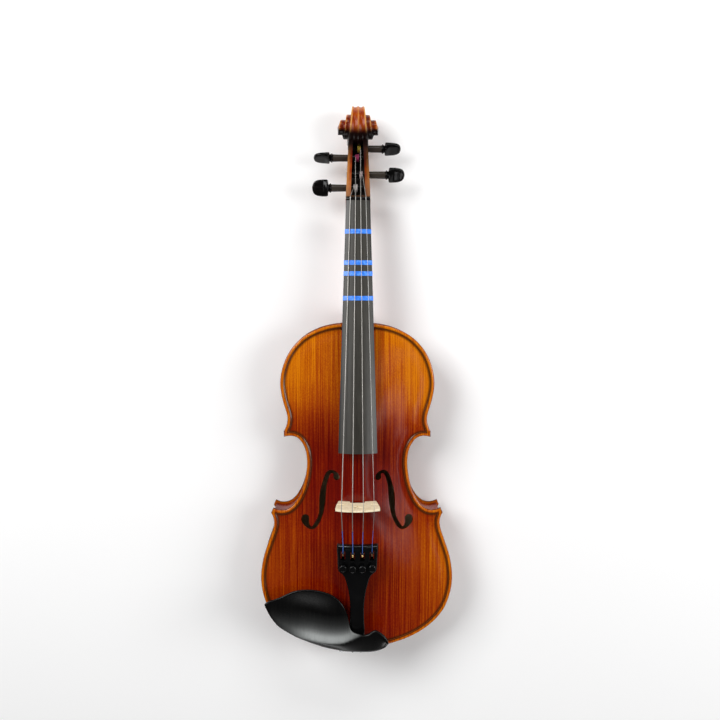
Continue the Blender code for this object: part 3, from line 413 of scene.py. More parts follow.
# ------------------------------------------------------------------ materials
class Look:
    """A Principled material and short ways to add nodes to it."""

    def __init__(self, name, colour=(0.5, 0.5, 0.5), rough=0.4, metal=0.0, **sockets):
        self.mat = bpy.data.materials.new(name)
        self.mat.use_nodes = True
        self.tree = self.mat.node_tree
        self.bsdf = self.tree.nodes["Principled BSDF"]
        self.bsdf.inputs["Base Color"].default_value = (*colour, 1)
        self.bsdf.inputs["Roughness"].default_value = rough
        self.bsdf.inputs["Metallic"].default_value = metal
        for key, value in sockets.items():
            self.bsdf.inputs[key.replace("_", " ")].default_value = value
        self.mat.diffuse_color = (*colour, 1)

    def node(self, kind, inputs=None, **settings):
        made = self.tree.nodes.new(kind)
        for key, value in settings.items():
            setattr(made, key, value)
        for key, value in (inputs or {}).items():
            if hasattr(value, "links"):
                self.tree.links.new(value, made.inputs[key])
            else:
                made.inputs[key].default_value = value
        return made

    def coords(self, scale=(1, 1, 1), turn=(0, 0, 0)):
        where = self.node("ShaderNodeTexCoord").outputs["Object"]
        made = self.node("ShaderNodeMapping", {"Vector": where, "Scale": scale, "Rotation": turn})
        return made.outputs["Vector"]

    def noise(self, scale, stretch=(1, 1, 1), detail=3.0, rough=0.5, distortion=0.0):
        made = self.node("ShaderNodeTexNoise", {"Vector": self.coords(stretch), "Scale": scale,
                                                "Detail": detail, "Roughness": rough,
                                                "Distortion": distortion})
        return made.outputs["Fac"]

    def wave(self, scale, distortion=0.0, turn=(0, 0, 0)):
        made = self.node("ShaderNodeTexWave", {"Vector": self.coords(turn=turn), "Scale": scale,
                                               "Distortion": distortion},
                         wave_type="BANDS", bands_direction="Y")
        return made.outputs["Fac"]

    def math(self, op, a, b):
        return self.node("ShaderNodeMath", {0: a, 1: b}, operation=op).outputs[0]

    def ramp(self, value, stops):
        made = self.node("ShaderNodeValToRGB", {"Fac": value})
        cells = made.color_ramp.elements
        while len(cells) < len(stops):
            cells.new(0.5)
        for cell, (at, colour) in zip(cells, stops):
            cell.position = at
            cell.color = (*colour, 1)
        return made.outputs["Color"]

    def level(self, value, a, b, low=0.0, high=1.0):
        made = self.node("ShaderNodeMapRange", {"Value": value, "From Min": a, "From Max": b,
                                                "To Min": low, "To Max": high})
        made.clamp = True
        return made.outputs["Result"]

    def mix(self, share, a, b, blend="MIX"):
        made = self.node("ShaderNodeMix", data_type="RGBA", blend_type=blend)
        for key, value in ((0, share), (6, a), (7, b)):
            if hasattr(value, "links"):
                self.tree.links.new(value, made.inputs[key])
            else:
                made.inputs[key].default_value = value if key == 0 else (*value, 1)
        return made.outputs[2]

    def attribute(self, name):
        return self.node("ShaderNodeAttribute", attribute_name=name).outputs["Fac"]

    def colour(self, value):
        self.tree.links.new(value, self.bsdf.inputs["Base Color"])

    def rough(self, value):
        self.tree.links.new(value, self.bsdf.inputs["Roughness"])

    def bump(self, height, strength=0.2, distance=0.0005):
        made = self.node("ShaderNodeBump", {"Height": height, "Strength": strength,
                                            "Distance": distance})
        self.tree.links.new(made.outputs["Normal"], self.bsdf.inputs["Normal"])


# varnish tones from the darkest red-brown to the palest amber
TONES = [(0.0, (0.095, 0.0012, 0.0004)), (0.16, (0.140, 0.0032, 0.0004)), (0.32, (0.190, 0.0095, 0.0005)),
         (0.48, (0.255, 0.0245, 0.0005)), (0.64, (0.340, 0.0480, 0.0006)), (0.8, (0.430, 0.0820, 0.0007)),
         (1.0, (0.620, 0.1750, 0.0010))]


INLAY_FROM = 3.6
INLAY_TO = INLAY_FROM + 1.35
CORE_FROM = INLAY_FROM + 0.42
CORE_TO = INLAY_FROM + 0.9


def strip_at(look, d, first, last):
    after_first = look.math("GREATER_THAN", d, first)
    before_last = look.math("LESS_THAN", d, last)
    return look.math("MULTIPLY", after_first, before_last)


def purfling(look, colour):
    """Three thin inlaid strips, dark, pale and dark, by distance from the edge."""
    d = look.attribute("edge")
    band = strip_at(look, d, INLAY_FROM, INLAY_TO)
    core = strip_at(look, d, CORE_FROM, CORE_TO)
    inlay = look.mix(core, (0.010, 0.003, 0.002), (0.20, 0.05, 0.006))
    # painted shade: a dark band in the channel inside the rim
    shade = look.math("MULTIPLY", look.level(d, 2.5, INLAY_FROM), look.level(d, 7.2, 5.4))
    colour = look.mix(look.math("MULTIPLY", shade, 0.72), colour, (0.045, 0.010, 0.001))
    # painted shade along the outermost edge, where the rim turns down
    skin = look.level(d, 0.7, 0.2, 0.0, 0.75)
    colour = look.mix(skin, colour, (0.06, 0.014, 0.002))
    return look.mix(band, colour, inlay)


def varnished_spruce():
    look = Look("spruce_varnish", rough=0.16, Specular_IOR_Level=0.36)
    cloud = look.noise(9.0, (1.0, 0.6, 1.0), 4.0, 0.55)
    lines = look.noise(1500.0, (1.0, 0.007, 0.007), 2.5, 0.6)
    wide = look.noise(330.0, (1.0, 0.012, 0.012), 2.0, 0.5)
    speck = look.noise(1300.0, (1.0, 0.45, 1.0), 2.5, 0.65)
    tone = look.attribute("tone")
    for value, reach in ((cloud, 0.05), (lines, 0.30), (wide, 0.04), (speck, 0.12)):
        tone = look.math("ADD", tone, look.level(value, 0.3, 0.7, -reach, reach))
    look.colour(purfling(look, look.ramp(tone, TONES)))
    look.rough(look.level(look.noise(60.0, (1, 0.3, 1), 3.0), 0.3, 0.7, 0.13, 0.19))
    look.bump(lines, 0.12, 0.0003)
    return look.mat


def maple_figure(look):
    """Broad flames across the grain, and the fine lines along it."""
    flame = look.noise(95.0, (0.22, 1.0, 0.22), 1.5, 0.45, 0.6)
    fine = look.noise(900.0, (1.0, 0.012, 0.25), 2.0, 0.5)
    return flame, fine


def flamed_maple(name, purfled=False, low=0.34, high=0.80):
    look = Look(name, rough=0.24, Specular_IOR_Level=0.25)
    flame, fine = maple_figure(look)
    tone = look.level(flame, 0.36, 0.64, low, high)
    tone = look.math("ADD", tone, look.level(fine, 0.3, 0.7, -0.05, 0.05))
    tone = look.math("ADD", tone, look.level(look.noise(11.0), 0.3, 0.7, -0.08, 0.08))
    colour = look.ramp(tone, TONES)
    if purfled:
        # golden edge: worn varnish with a painted highlight on the rim
        worn = look.level(look.attribute("edge"), 3.4, 1.0, 0.0, 0.5)
        colour = look.mix(worn, colour, (0.50, 0.13, 0.004))
        colour = purfling(look, colour)
    look.colour(colour)
    look.rough(look.level(look.noise(70.0), 0.3, 0.7, 0.18, 0.3))
    look.bump(fine, 0.06, 0.0002)
    return look.mat


def scroll_maple():
    """Orange-brown varnish, with painted shade near black in the throat and dark between the turns, gold on
    the chamfers as wear with a painted highlight, pale by the nut.
    """
    look = Look("maple_scroll", rough=0.26, Specular_IOR_Level=0.2)
    flame, fine = maple_figure(look)
    wear = look.attribute("wear")
    grain = look.level(fine, 0.3, 0.7, -0.06, 0.06)
    tone = look.math("ADD", look.level(flame, 0.36, 0.64, 0.40, 0.80), grain)
    # painted shade: dark where the mark is low, in the gaps between the turns and in the flutes
    colour = look.mix(look.level(wear, 0.35, 0.0), look.ramp(tone, TONES), (0.05, 0.009, 0.001))
    # gold where the mark is high, on the chamfers and the middle ridge: wear with a painted highlight
    colour = look.mix(look.level(wear, 0.45, 0.95), colour, (0.56, 0.25, 0.055))
    colour = look.mix(look.attribute("worn"), colour, (0.30, 0.14, 0.065))
    # painted shade: near black in the throat and at the top of the pegbox
    look.colour(look.mix(look.attribute("shade"), colour, (0.006, 0.0012, 0.0008)))
    look.rough(look.level(look.noise(70.0), 0.3, 0.7, 0.22, 0.34))
    look.bump(fine, 0.06, 0.0002)
    return look.mat


def bare_wood(name, pale, dark):
    look = Look(name, pale, 0.6)
    lines = look.noise(850.0, (1.0, 0.02, 0.4), 3.0, 0.6)
    spots = look.noise(240.0, (1.0, 0.3, 1.0), 4.0, 0.6)
    blots = look.level(spots, 0.45, 0.75, 0.0, 0.35)
    share = look.math("ADD", look.level(lines, 0.35, 0.7, 0.0, 0.55), blots)
    look.colour(look.mix(share, pale, dark))
    look.bump(lines, 0.12, 0.0002)
    return look.mat


def bridge_wood():
    look = Look("bridge_maple", (0.86, 0.72, 0.47), 0.5)
    flecks = look.noise(520.0, (1.0, 1.0, 0.35), 4.0, 0.65)
    rings = look.noise(260.0, (0.12, 1.0, 1.0), 2.0, 0.5)
    share = look.math("ADD", look.level(flecks, 0.5, 0.72, 0.0, 0.6), look.level(rings, 0.4, 0.7, 0.0, 0.25))
    look.colour(look.mix(share, (0.96, 0.84, 0.60), (0.66, 0.48, 0.24)))
    look.bump(flecks, 0.1, 0.0002)
    return look.mat


def black_wood(name, dark=(0.0022, 0.002, 0.002), pale=(0.008, 0.0068, 0.006), rough=(0.10, 0.17),
               stretch=(1.0, 0.04, 0.5), shine=0.16, worn=(0.075, 0.058, 0.046)):
    look = Look(name, dark, rough[0], Specular_IOR_Level=shine)
    pores = look.noise(700.0, stretch, 3.0, 0.65)
    cloud = look.noise(45.0)
    colour = look.mix(look.level(pores, 0.48, 0.75), dark, pale)
    # painted sheen where the mark is set: paler along the peg shafts and in a satin band on the chin rest
    share = look.math("MULTIPLY", look.attribute("worn"), look.level(pores, 0.3, 0.75, 0.86, 1.0))
    look.colour(look.mix(share, colour, worn))
    look.rough(look.level(cloud, 0.3, 0.7, rough[0], rough[1]))
    look.bump(pores, 0.09, 0.0002)
    return look.mat


def board_black():
    look = Look("board_black", (0.06, 0.055, 0.045), 0.42, Specular_IOR_Level=0.5)
    streak = look.noise(600.0, (1.0, 0.012, 1.0), 3.0, 0.6)
    wear = look.noise(24.0, (1.0, 0.35, 1.0), 3.0, 0.5)
    tone = look.math("ADD", look.level(streak, 0.35, 0.7, 0.0, 0.5), look.level(wear, 0.35, 0.7, 0.0, 0.4))
    face = look.mix(tone, (0.023, 0.021, 0.0165), (0.047, 0.043, 0.034))
    # painted shade: darker towards the edges of the crown and on the sides
    look.colour(look.mix(look.attribute("side"), face, (0.005, 0.005, 0.0045)))
    look.rough(look.level(wear, 0.3, 0.7, 0.34, 0.5))
    look.bump(streak, 0.08, 0.0002)
    return look.mat


def plastic(name, colour, rough):
    look = Look(name, colour, rough, Specular_IOR_Level=0.3)
    skin = look.noise(1500.0, detail=2.0)
    look.rough(look.level(look.noise(60.0), 0.3, 0.7, rough - 0.06, rough + 0.08))
    look.bump(skin, 0.05, 0.0001)
    return look.mat


def metal(name, colour, rough):
    look = Look(name, colour, rough, 1.0)
    scratch = look.noise(400.0, (0.3, 1, 1))
    look.rough(look.level(scratch, 0.3, 0.7, rough - 0.06, rough + 0.1))
    return look.mat


WIRE_PITCH = 0.00028


def wound(name, colour):
    """Flat wire wound on a core: fine rings along the string."""
    look = Look(name, colour, 0.46, 1.0)
    rings = look.wave(1 / WIRE_PITCH / 6.2832)
    look.colour(look.mix(look.level(rings, 0.0, 1.0), tuple(0.8 * c for c in colour), colour))
    look.bump(rings, 0.12, 0.0001)
    return look.mat


def silk(name, colour, dark):
    look = Look(name, colour, 0.55, Sheen_Weight=0.2)
    wave = look.wave(560.0, 1.5, turn=(0, 0, 0.6))
    look.colour(look.mix(look.level(wave, 0.1, 0.9), dark, colour))
    look.bump(wave, 0.4, 0.0002)
    return look.mat


def tape_look():
    look = Look("tape_blue", (0.03, 0.22, 0.90), 0.34, Specular_IOR_Level=0.4)
    blot = look.noise(420.0, rough=0.6)
    look.colour(look.mix(look.level(blot, 0.46, 0.62), (0.035, 0.22, 0.92), (0.12, 0.36, 1.0)))
    look.bump(blot, 0.15, 0.0002)
    return look.mat


SPRUCE = varnished_spruce()
BACK_MAPLE = flamed_maple("maple_back", purfled=True)
RIB_MAPLE = flamed_maple("maple_rib", low=0.14, high=0.56)
NECK_MAPLE = flamed_maple("maple_neck")
SCROLL_MAPLE = scroll_maple()
RAW_SPRUCE = bare_wood("spruce_raw", (0.52, 0.42, 0.24), (0.34, 0.25, 0.12))
RAW_MAPLE = bare_wood("maple_raw", (0.50, 0.42, 0.26), (0.36, 0.28, 0.14))
BRIDGE_WOOD = bridge_wood()
BOARD = board_black()
NUT_BLACK = black_wood("nut_black")
FITTING = black_wood("fitting_black", stretch=(0.04, 1.0, 1.0))
# the chin rest's grey is a painted satin highlight, laid on by the mark along its crease
REST_BLACK = black_wood("rest_black", (0.0018, 0.0018, 0.0018), (0.004, 0.0038, 0.0033), (0.24, 0.30),
                        shine=0.22, worn=(0.37, 0.385, 0.38))
COMPOSITE = plastic("composite_black", (0.0024, 0.0024, 0.0026), 0.17)
CORD = plastic("cord_black", (0.008, 0.008, 0.009), 0.45)
STEEL = metal("string_steel", (0.55, 0.54, 0.52), 0.42)
NICKEL = metal("clamp_nickel", (0.72, 0.72, 0.74), 0.18)
BRASS = metal("ball_brass", (0.70, 0.48, 0.20), 0.36)
# a darker copy of the brass, used for the G and E balls
DARK_BRASS = metal("ball_dark", (0.12, 0.07, 0.04), 0.45)
WOUND = wound("string_wound", (0.50, 0.48, 0.45))
BLUE_SILK = silk("silk_blue", (0.035, 0.12, 0.50), (0.012, 0.045, 0.24))
TAPE = tape_look()

# ------------------------------------------------------------------ outline and arching
LOWER_ARC = [(0, 0), (17.5, 1.15), (35, 4.6), (52.5, 10.2), (68.5, 18), (80.5, 26.5), (89.5, 35.5),
             (96.5, 45.5), (101, 56.5), (103.8, 68), (104.8, 80), (103.9, 92), (101.2, 105.5),
             (96.8, 119), (92.6, 131), (90.4, 139.5), (90.8, 146), (93.4, 152.6)]
WAIST_ARC = [(91.0, 158.1), (86.5, 156.2), (81.5, 155.6), (76.5, 156.5), (71.8, 159.3),
             (67.0, 164.4), (62.8, 171.4), (59.4, 179.6), (56.9, 188.4), (55.2, 197.5),
             (54.4, 206.5), (54.7, 214.5), (56.3, 222.5), (59.3, 228.9), (63.5, 234),
             (68.2, 236.5), (73.5, 236.9), (79.3, 236.0)]
UPPER_ARC = [(79.3, 242), (76.8, 247.5), (75.4, 253.5), (75.8, 260), (77.8, 267), (80, 274.5),
             (81.7, 282), (82.8, 290), (82.8, 298), (81.3, 307.5), (78.2, 317.5), (73, 328),
             (66, 337), (57.5, 344.6), (47.5, 350.4), (36.5, 354.6), (24, 357.3), (12, 358.3),
             (0, 358.5)]
ARCH_FOOT = [(0, 7), (25, 8.6), (45, 14), (68, 26), (85, 44), (93.5, 66), (93, 92), (84, 120),
             (69, 146), (56, 167), (49.5, 186), (47.5, 206), (50.5, 224), (59, 243), (68, 262),
             (73.5, 284), (72, 306), (62, 328), (44, 343), (22, 350.5), (0, 352)]
F_HOLE = [(49.6, 137.8), (51.5, 140.5), (52.3, 143.8), (52, 147.5), (53.4, 150.2), (56.3, 151.2),
          (59.3, 149.7), (60.6, 146.5), (60, 142.5), (57.3, 138.8), (53.5, 136), (49.2, 134.9),
          (45.3, 136.6), (42, 140.6), (39.2, 146.2), (37, 152.4), (35.4, 159.6), (34.4, 166.8),
          (33.9, 174), (33.4, 180.1), (32.6, 185.7), (31, 191.4), (29.3, 195.7), (27.5, 197.2),
          (25.6, 196.4), (25.8, 193.8), (24.7, 191), (22.3, 190), (19.9, 191.4), (19.4, 194.3),
          (20.7, 197.2), (24, 199.9), (28.5, 200.8), (32, 199.2), (34.6, 195.5), (36.4, 190.9),
          (38.1, 185.2), (39.7, 179.1), (40.7, 172.9), (41.1, 165.7), (41.1, 158.6), (41.5, 153.4),
          (42.9, 148.3), (45.3, 143.7), (48, 139.6), (49.6, 137.8)]

right_waist = spline(WAIST_ARC, 96)
upper_arc = spline(UPPER_ARC + mirrored(UPPER_ARC)[1:], 280)
left_waist = np.array(mirrored(right_waist))
lower_arc = spline(mirrored(LOWER_ARC) + LOWER_ARC[1:], 380)
foot_line = spline(ARCH_FOOT, 800)
ARCS = [right_waist, upper_arc, left_waist, lower_arc]
OUTLINE = np.concatenate(ARCS)
COARSE = np.concatenate([arc[::3] for arc in ARCS])
F_TREBLE = spline(F_HOLE, 210)[:-1]
F_BASS = F_TREBLE * [-1, 1]


def arch(x, y):
    """Share of the arching's full height, 1 in the middle and 0 at its foot."""
    half = np.maximum(np.interp(y, foot_line[:, 1], foot_line[:, 0]), 1e-3)
    cross = np.where(np.abs(x) < half, 0.5 + 0.5 * np.cos(np.pi * np.minimum(np.abs(x) / half, 1)), 0)
    run = np.abs((y - 179.5) / 172.5)
    return cross * np.clip(1 - run ** 2.5, 0, 1)


RIM_RADIUS = 1.7
BELLY_EDGE, BELLY_RISE = 50.0, 12.0
BACK_EDGE, BACK_RISE = 11.0, 11.0
GLUE_TOP, GLUE_LOW = 46.0, 15.0


def edge_shape(d):
    """Height over the flat edge: rounded rim, then a shallow channel."""
    rim = RIM_RADIUS * (np.sqrt(1 - (1 - np.clip(d / RIM_RADIUS, 0, 1)) ** 2) - 1)
    channel = -0.95 * smooth((d - 2.4) / 3.4) * (1 - smooth((d - 7.0) / 11.0))
    return rim + channel


def notched(arc, half, level):
    """An arc with a square notch across its middle, for the neck or the saddle."""
    first = [p for p in arc[:len(arc) // 2 + 1] if abs(p[0]) > half + 1]
    last = [p for p in arc[len(arc) // 2:] if abs(p[0]) > half + 1]
    side = 1 if first[-1][0] > 0 else -1
    middle = np.array([p for p in arc if abs(p[0]) < half + 12])
    order = np.argsort(middle[:, 0])
    edge = float(np.interp(half, middle[order, 0], middle[order, 1]))
    return np.array(first + [(side * half, edge), (side * half, level), (-side * half, level),
                             (-side * half, edge)] + last)


def plate_spots(holes, arcs, rim_arcs):
    """Inner points: rings along the rim, then grids that grow coarser inward."""
    spots = []
    for depth in (0.25, 0.7, 1.3, 2.1, 3.1, 3.6, 4.05, 4.5, 4.95, 5.7, 6.8, 8.2):
        for arc in rim_arcs:
            line = offset(arc, depth)[1:-1]
            edge = COARSE if depth > 3 else arcs
            far = edge_distance(line[:, 0], line[:, 1], edge) > depth * 0.97 - 0.12
            line = line[far]
            spots.append(line if depth < 5.5 else line[::2])
    for hole in holes:
        closed = np.concatenate([hole, hole[:1]])
        for depth in (-0.5, 0.5, -1.3, 1.3):
            line = offset(closed, depth)[:-1]
            spots.append(line[clear(line[:, 0], line[:, 1], hole, abs(depth) * 0.9, inside=False)])
    step = 3.2
    x, y = grid(np.arange(-108, 108.1, step), np.arange(3, 357, step))
    ok = clear(x, y, COARSE, 9.6)
    x, y = x[ok], y[ok]
    for hole in holes:
        ok = clear(x, y, hole, 2.6, inside=False)
        x, y = x[ok], y[ok]
    spots.append(np.stack([x, y], axis=1))
    return np.concatenate(spots)


def plate(name, outline, holes, face, inner, outward, look, bare, replaces, tone=None):
    """A carved plate: the outer face gets exact normals from its own heights."""
    spots, tris, border = sheet_data(outline, holes, plate_spots(holes, outline, ARCS))
    x, y = spots[:, 0], spots[:, 1]
    rim = edge_distance(x, y, outline)
    for hole in holes:
        rim = np.minimum(rim, 6 + edge_distance(x, y, hole))
    d = edge_distance(x, y, OUTLINE[::2])
    out_z = face(x, y, d, rim)
    in_z = inner(x, y, d)
    step = 0.35
    eps = np.array([[step, 0], [-step, 0], [0, step], [0, -step]])
    around = [face(x + ex, y + ey, edge_distance(x + ex, y + ey, OUTLINE[::2]), None) for ex, ey in eps]
    slope = np.stack([around[0] - around[1], around[2] - around[3]], axis=1) / (2 * step)
    normal = np.stack([-slope[:, 0], -slope[:, 1], np.ones(len(x))], axis=1) * outward
    near = np.clip(1 - rim / RIM_RADIUS, 0, 1)
    pull = np.zeros((len(x), 2))
    for i in np.nonzero(near > 0)[0]:
        q = outline - spots[i]
        at = int(np.argmin((q ** 2).sum(axis=1)))
        size = np.linalg.norm(q[at])
        if size > 1e-6:
            pull[i] = q[at] / size
        else:
            along = outline[(at + 1) % len(outline)] - outline[at - 1]
            pull[i] = np.array([along[1], -along[0]]) / np.linalg.norm(along)
    lean = near / np.sqrt(np.maximum(1 - near ** 2, 0.02))
    normal[:, :2] += pull * lean[:, None]
    normal = normal / np.linalg.norm(normal, axis=1)[:, None]
    count = len(x)
    verts = [place((a, b, c)) for a, b, c in zip(x, y, out_z)]
    verts += [place((a, b, c)) for a, b, c in zip(x, y, in_z)]
    turned_over = [(a, c, b) for a, b, c in tris]
    near_side, far_side = (tris, turned_over) if outward > 0 else (turned_over, tris)
    faces = near_side + [(a + count, b + count, c + count) for a, b, c in far_side]
    normals = [tuple(n) for n in normal] + [(0.0, 0.0, -float(outward))] * count
    extra_d = list(d) + list(d)
    for a, b in border:
        base = len(verts)
        run = spots[b] - spots[a]
        side = np.array([run[1], -run[0]]) / max(np.linalg.norm(run), 1e-9)
        flat = (float(side[0]), float(side[1]), 0.0)
        for i in (a, b):
            verts.append(verts[i])
            verts.append(verts[i + count])
            normals += [tuple(normal[i]) if rim[i] < 0.01 else flat, flat]
            extra_d += [d[i], d[i]]
        order = (base + 2, base, base + 1, base + 3)
        faces.append(order if outward > 0 else order[::-1])
    mesh = bpy.data.meshes.new(name)
    mesh.from_pydata(verts, [], faces)
    for polygon in mesh.polygons:
        polygon.use_smooth = True
    mesh.normals_split_custom_set_from_vertices(normals)
    mark(mesh, "edge", extra_d)
    if tone is not None:
        px = np.array([v[0] for v in verts]) / MM
        py = np.array([v[1] for v in verts]) / MM + BODY_MID
        mark(mesh, "tone", tone(px, py, np.array(extra_d)))
    made = finish_piece(bpy.data.objects.new(name, mesh), look, BODY, replaces)
    mesh.materials.append(bare)
    for face_number, corners in enumerate(tris, len(tris)):
        if min(d[k] for k in corners) > 3.0:
            mesh.polygons[face_number].material_index = 1
    return made


def rim_shape(d, rim):
    """The edge's own height; with no rim given, as if past the rounding."""
    return edge_shape(np.maximum(d, RIM_RADIUS) if rim is None else np.minimum(d, rim))


def hollow_share(d):
    return np.clip((d - 10) / 8, 0, 1)


def inner_round(d):
    return 1.2 * np.clip(1 - d / 1.2, 0, 1) ** 2


def belly_face(x, y, d, rim):
    return BELLY_EDGE + BELLY_RISE * arch(x, y) + rim_shape(d, rim)


def belly_inner(x, y, d):
    return GLUE_TOP + hollow_share(d) * np.maximum(1.0 + BELLY_RISE * arch(x, y), 0) + inner_round(d)


def back_face(x, y, d, rim):
    return np.maximum(BACK_EDGE - BACK_RISE * arch(x, y) - rim_shape(d, rim), 0.0)


def back_inner(x, y, d):
    return GLUE_LOW - hollow_share(d) * np.maximum(0.6 + BACK_RISE * arch(x, y), 0) - inner_round(d)


def belly_tone(x, y, d):
    """Varnish depth: amber on the flanks of the upper bouts, red-brown in the middle."""
    ys = [0, 20, 60, 95, 128, 150, 180, 215, 255, 275, 300, 340, 360]
    centre = np.interp(y, ys, [0.24, 0.20, 0.22, 0.26, 0.26, 0.16, 0.04, 0.12, 0.40, 0.54, 0.60, 0.60, 0.55])
    flank = np.interp(y, ys, [0.25, 0.32, 0.54, 0.66, 0.60, 0.44, 0.30, 0.31, 0.58, 0.87, 1.0, 0.95, 0.8])
    half = np.interp(y, [0, 20, 45, 80, 120, 165, 205, 240, 290, 330, 350],
                     [50, 72, 92, 98, 90, 58, 48, 62, 76, 62, 40])
    share = np.clip(np.abs(x) / half, 0, 1) ** 1.6
    treble = np.interp(y, [60, 130, 170, 240, 260], [0.13, 0.10, -0.04, -0.04, 0.07])
    warm = np.where(x > 0, treble, -0.05) * share
    tone = centre + (flank - centre) * share + warm
    # golden band along the edge: worn varnish with a painted highlight on the rounded rim
    rim = smooth((4.4 - d) / 2.2)
    return np.clip(tone + rim * (0.92 - tone) * 0.85, 0, 1)


belly_outline = np.concatenate([right_waist, notched(upper_arc, 17.0, 351.7), left_waist,
                                notched(lower_arc, 18.1, 7.3)])
plate("belly", belly_outline, [F_TREBLE, F_BASS], belly_face, belly_inner, 1, SPRUCE, RAW_SPRUCE,
      ["top_plate"], belly_tone)
TAB = 10.5
UPPER_MID = 140
tab = [(math.cos(t) * TAB, 360 + math.sin(t) * TAB) for t in np.linspace(0, math.pi, 41)]
first_half = [p for p in tuples(upper_arc[:UPPER_MID + 1]) if p[0] > TAB + 1]
second_half = [p for p in tuples(upper_arc[UPPER_MID:]) if p[0] < -TAB - 1]
back_outline = np.array(tuples(right_waist) + first_half + [(TAB, 358.4)] + tab + [(-TAB, 358.4)]
                        + second_half + tuples(left_waist) + tuples(lower_arc))
plate("back", back_outline, [], back_face, back_inner, -1, BACK_MAPLE, RAW_MAPLE, ["back_plate"])

# ------------------------------------------------------------------ ribs
UP_TIP = np.array([79.3, 239.0])
UP_IN = np.array([-1.0, -0.02])
LOW_TIP = np.array([92.2, 155.3])
LOW_IN = np.array([-0.74, -0.67])


def above_line(tip, along, side, margin):
    """Keeps a rib on its own side of the joint line through a corner."""
    normal = np.array([along[1], -along[0]]) * side
    normal = normal / np.linalg.norm(normal)
    return lambda q: float((q - tip) @ normal) - margin


def tip_clear(tip, limit):
    """Keeps a rib short of the outer point of its corner."""
    out = np.array([1.0, 0.12]) if tip is UP_TIP else np.array([0.75, 0.66])
    return lambda q: limit - float((q - tip) @ out) if np.hypot(*(q - tip)) < 12 else 5.0


def both(*tests):
    return lambda q: min(t(q) for t in tests)


def rib(name, arc, inside, count, mirror, replaces, inside_low=None):
    lines = []
    for depth in (2.5, 3.7):
        line = offset(arc, depth)
        high = resample(keep(line, inside), count)
        low = resample(keep(line, inside_low or inside), count)
        if mirror:
            high, low = high * [-1, 1], low * [-1, 1]
        lines.append((low, high))
    rings = []
    for k in range(count + 1):
        (a, d), (b, c) = [(low[k], high[k]) for low, high in lines]
        rings.append([(*a, 15.05), (*b, 15.05), (*c, 45.95), (*d, 45.95)])
    return loft(name, rings, RIB_MAPLE, replaces=replaces, slot="maple_varnished", angle=50)


JOIN = 0.05
up_clear = tip_clear(UP_TIP, -2.2)
low_clear = tip_clear(LOW_TIP, -2.4)
upper_part = both(above_line(UP_TIP, UP_IN, 1, JOIN), up_clear)
waist_part = both(above_line(UP_TIP, UP_IN, -1, JOIN), above_line(LOW_TIP, LOW_IN, 1, JOIN), up_clear,
                  low_clear)
for side, mirror in (("treble", False), ("bass", True)):
    rib("rib_up_" + side, upper_arc[:UPPER_MID + 1], both(upper_part, lambda q: q[0] - 16.9), 90, mirror,
        ["rib_upper_" + side], both(upper_part, lambda q: q[0] - 10.8))
    rib("rib_mid_" + side, right_waist, waist_part, 80, mirror, ["rib_waist_" + side])


def fold(test):
    return lambda q: test(np.array([abs(q[0]), q[1]]))


rib("rib_low", lower_arc, both(fold(above_line(LOW_TIP, LOW_IN, -1, JOIN)), fold(low_clear)), 220, False,
    ["rib_lower"])

INSIDE = ("lining", "corner_block", "bass_bar", "sound_post", "neck_block", "end_block")
for name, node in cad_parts.items():
    if name.startswith(INSIDE):
        node.data.materials.clear()
        node.data.materials.append(RAW_SPRUCE)


# ------------------------------------------------------------------ neck, pegbox and scroll
NUT_Y = 488.5


def glue_plane(y):
    return 42.0 + 0.1115 * (NUT_Y - y)


def board_half(y):
    return 12.8 + (NUT_Y - y) * 0.029


def board_top(y):
    return 48.7 + 0.1225 * (NUT_Y - y)


def sag(x, radius=42.0):
    """Fall of the board's crown away from its middle."""
    return radius - math.sqrt(radius * radius - x * x)


# along the neck: place, height of the underside, how square the section is
NECK_STATIONS = [(352.0, 15.3, 1.0), (358.6, 15.3, 1.0), (364.5, 15.3, 1.0), (368.2, 15.3, 0.98),
                 (370.2, 18.5, 0.93), (372.0, 24.0, 0.8), (374.2, 30.0, 0.6), (377.5, 35.6, 0.33),
                 (382.0, 38.7, 0.12), (388.0, 39.4, 0.03), (396.0, 38.9, 0.0), (425.0, 36.0, 0.0),
                 (455.0, 33.0, 0.0), (479.0, 30.6, 0.0), (490.1, 29.3, 0.0)]
HEEL_HALF = 10.5
HEEL_LOW = 15.3
NECK_STEPS = 18
station_y, station_z, station_boxy = np.array(NECK_STATIONS).T
fine_y = np.concatenate([np.arange(352, 366, 2.0), np.arange(366, 392, 0.8), np.arange(392, 489.6, 3.0),
                         [490.1]])
rings = []
for y in fine_y:
    bottom = float(np.interp(y, station_y, station_z))
    boxy = float(np.interp(y, station_y, station_boxy))
    top = glue_plane(min(y, NUT_Y))
    half = board_half(y) if y < 480 else board_half(y) + 0.05 * (y - 480)
    foot = HEEL_HALF + (half - HEEL_HALF) * (1 - boxy)
    power = 2.25 + 6 * boxy
    right_side = [(half, y, top)]
    for k in range(1, NECK_STEPS + 1):
        s = math.sin(math.pi / 2 * k / NECK_STEPS)
        z = top + (bottom - top) * s
        taper = 0.0 if z > GLUE_TOP else (GLUE_TOP - z) / (GLUE_TOP - HEEL_LOW)
        wide = half + (foot - half) * taper * boxy
        wide = wide * max(1 - s ** power, 0) ** (1 / power) if k < NECK_STEPS else 0.2
        right_side.append((wide, y, z))
    rings.append(right_side + [(-x, y, z) for x, y, z in reversed(right_side)])
loft("neck_shaft", rings, NECK_MAPLE, replaces=["neck"], slot="maple_varnished", angle=50)

EYE_Y, EYE_Z = 566.8, 28.0


def volute(deg):
    return 23.4 * 0.62 ** (deg / 360.0)


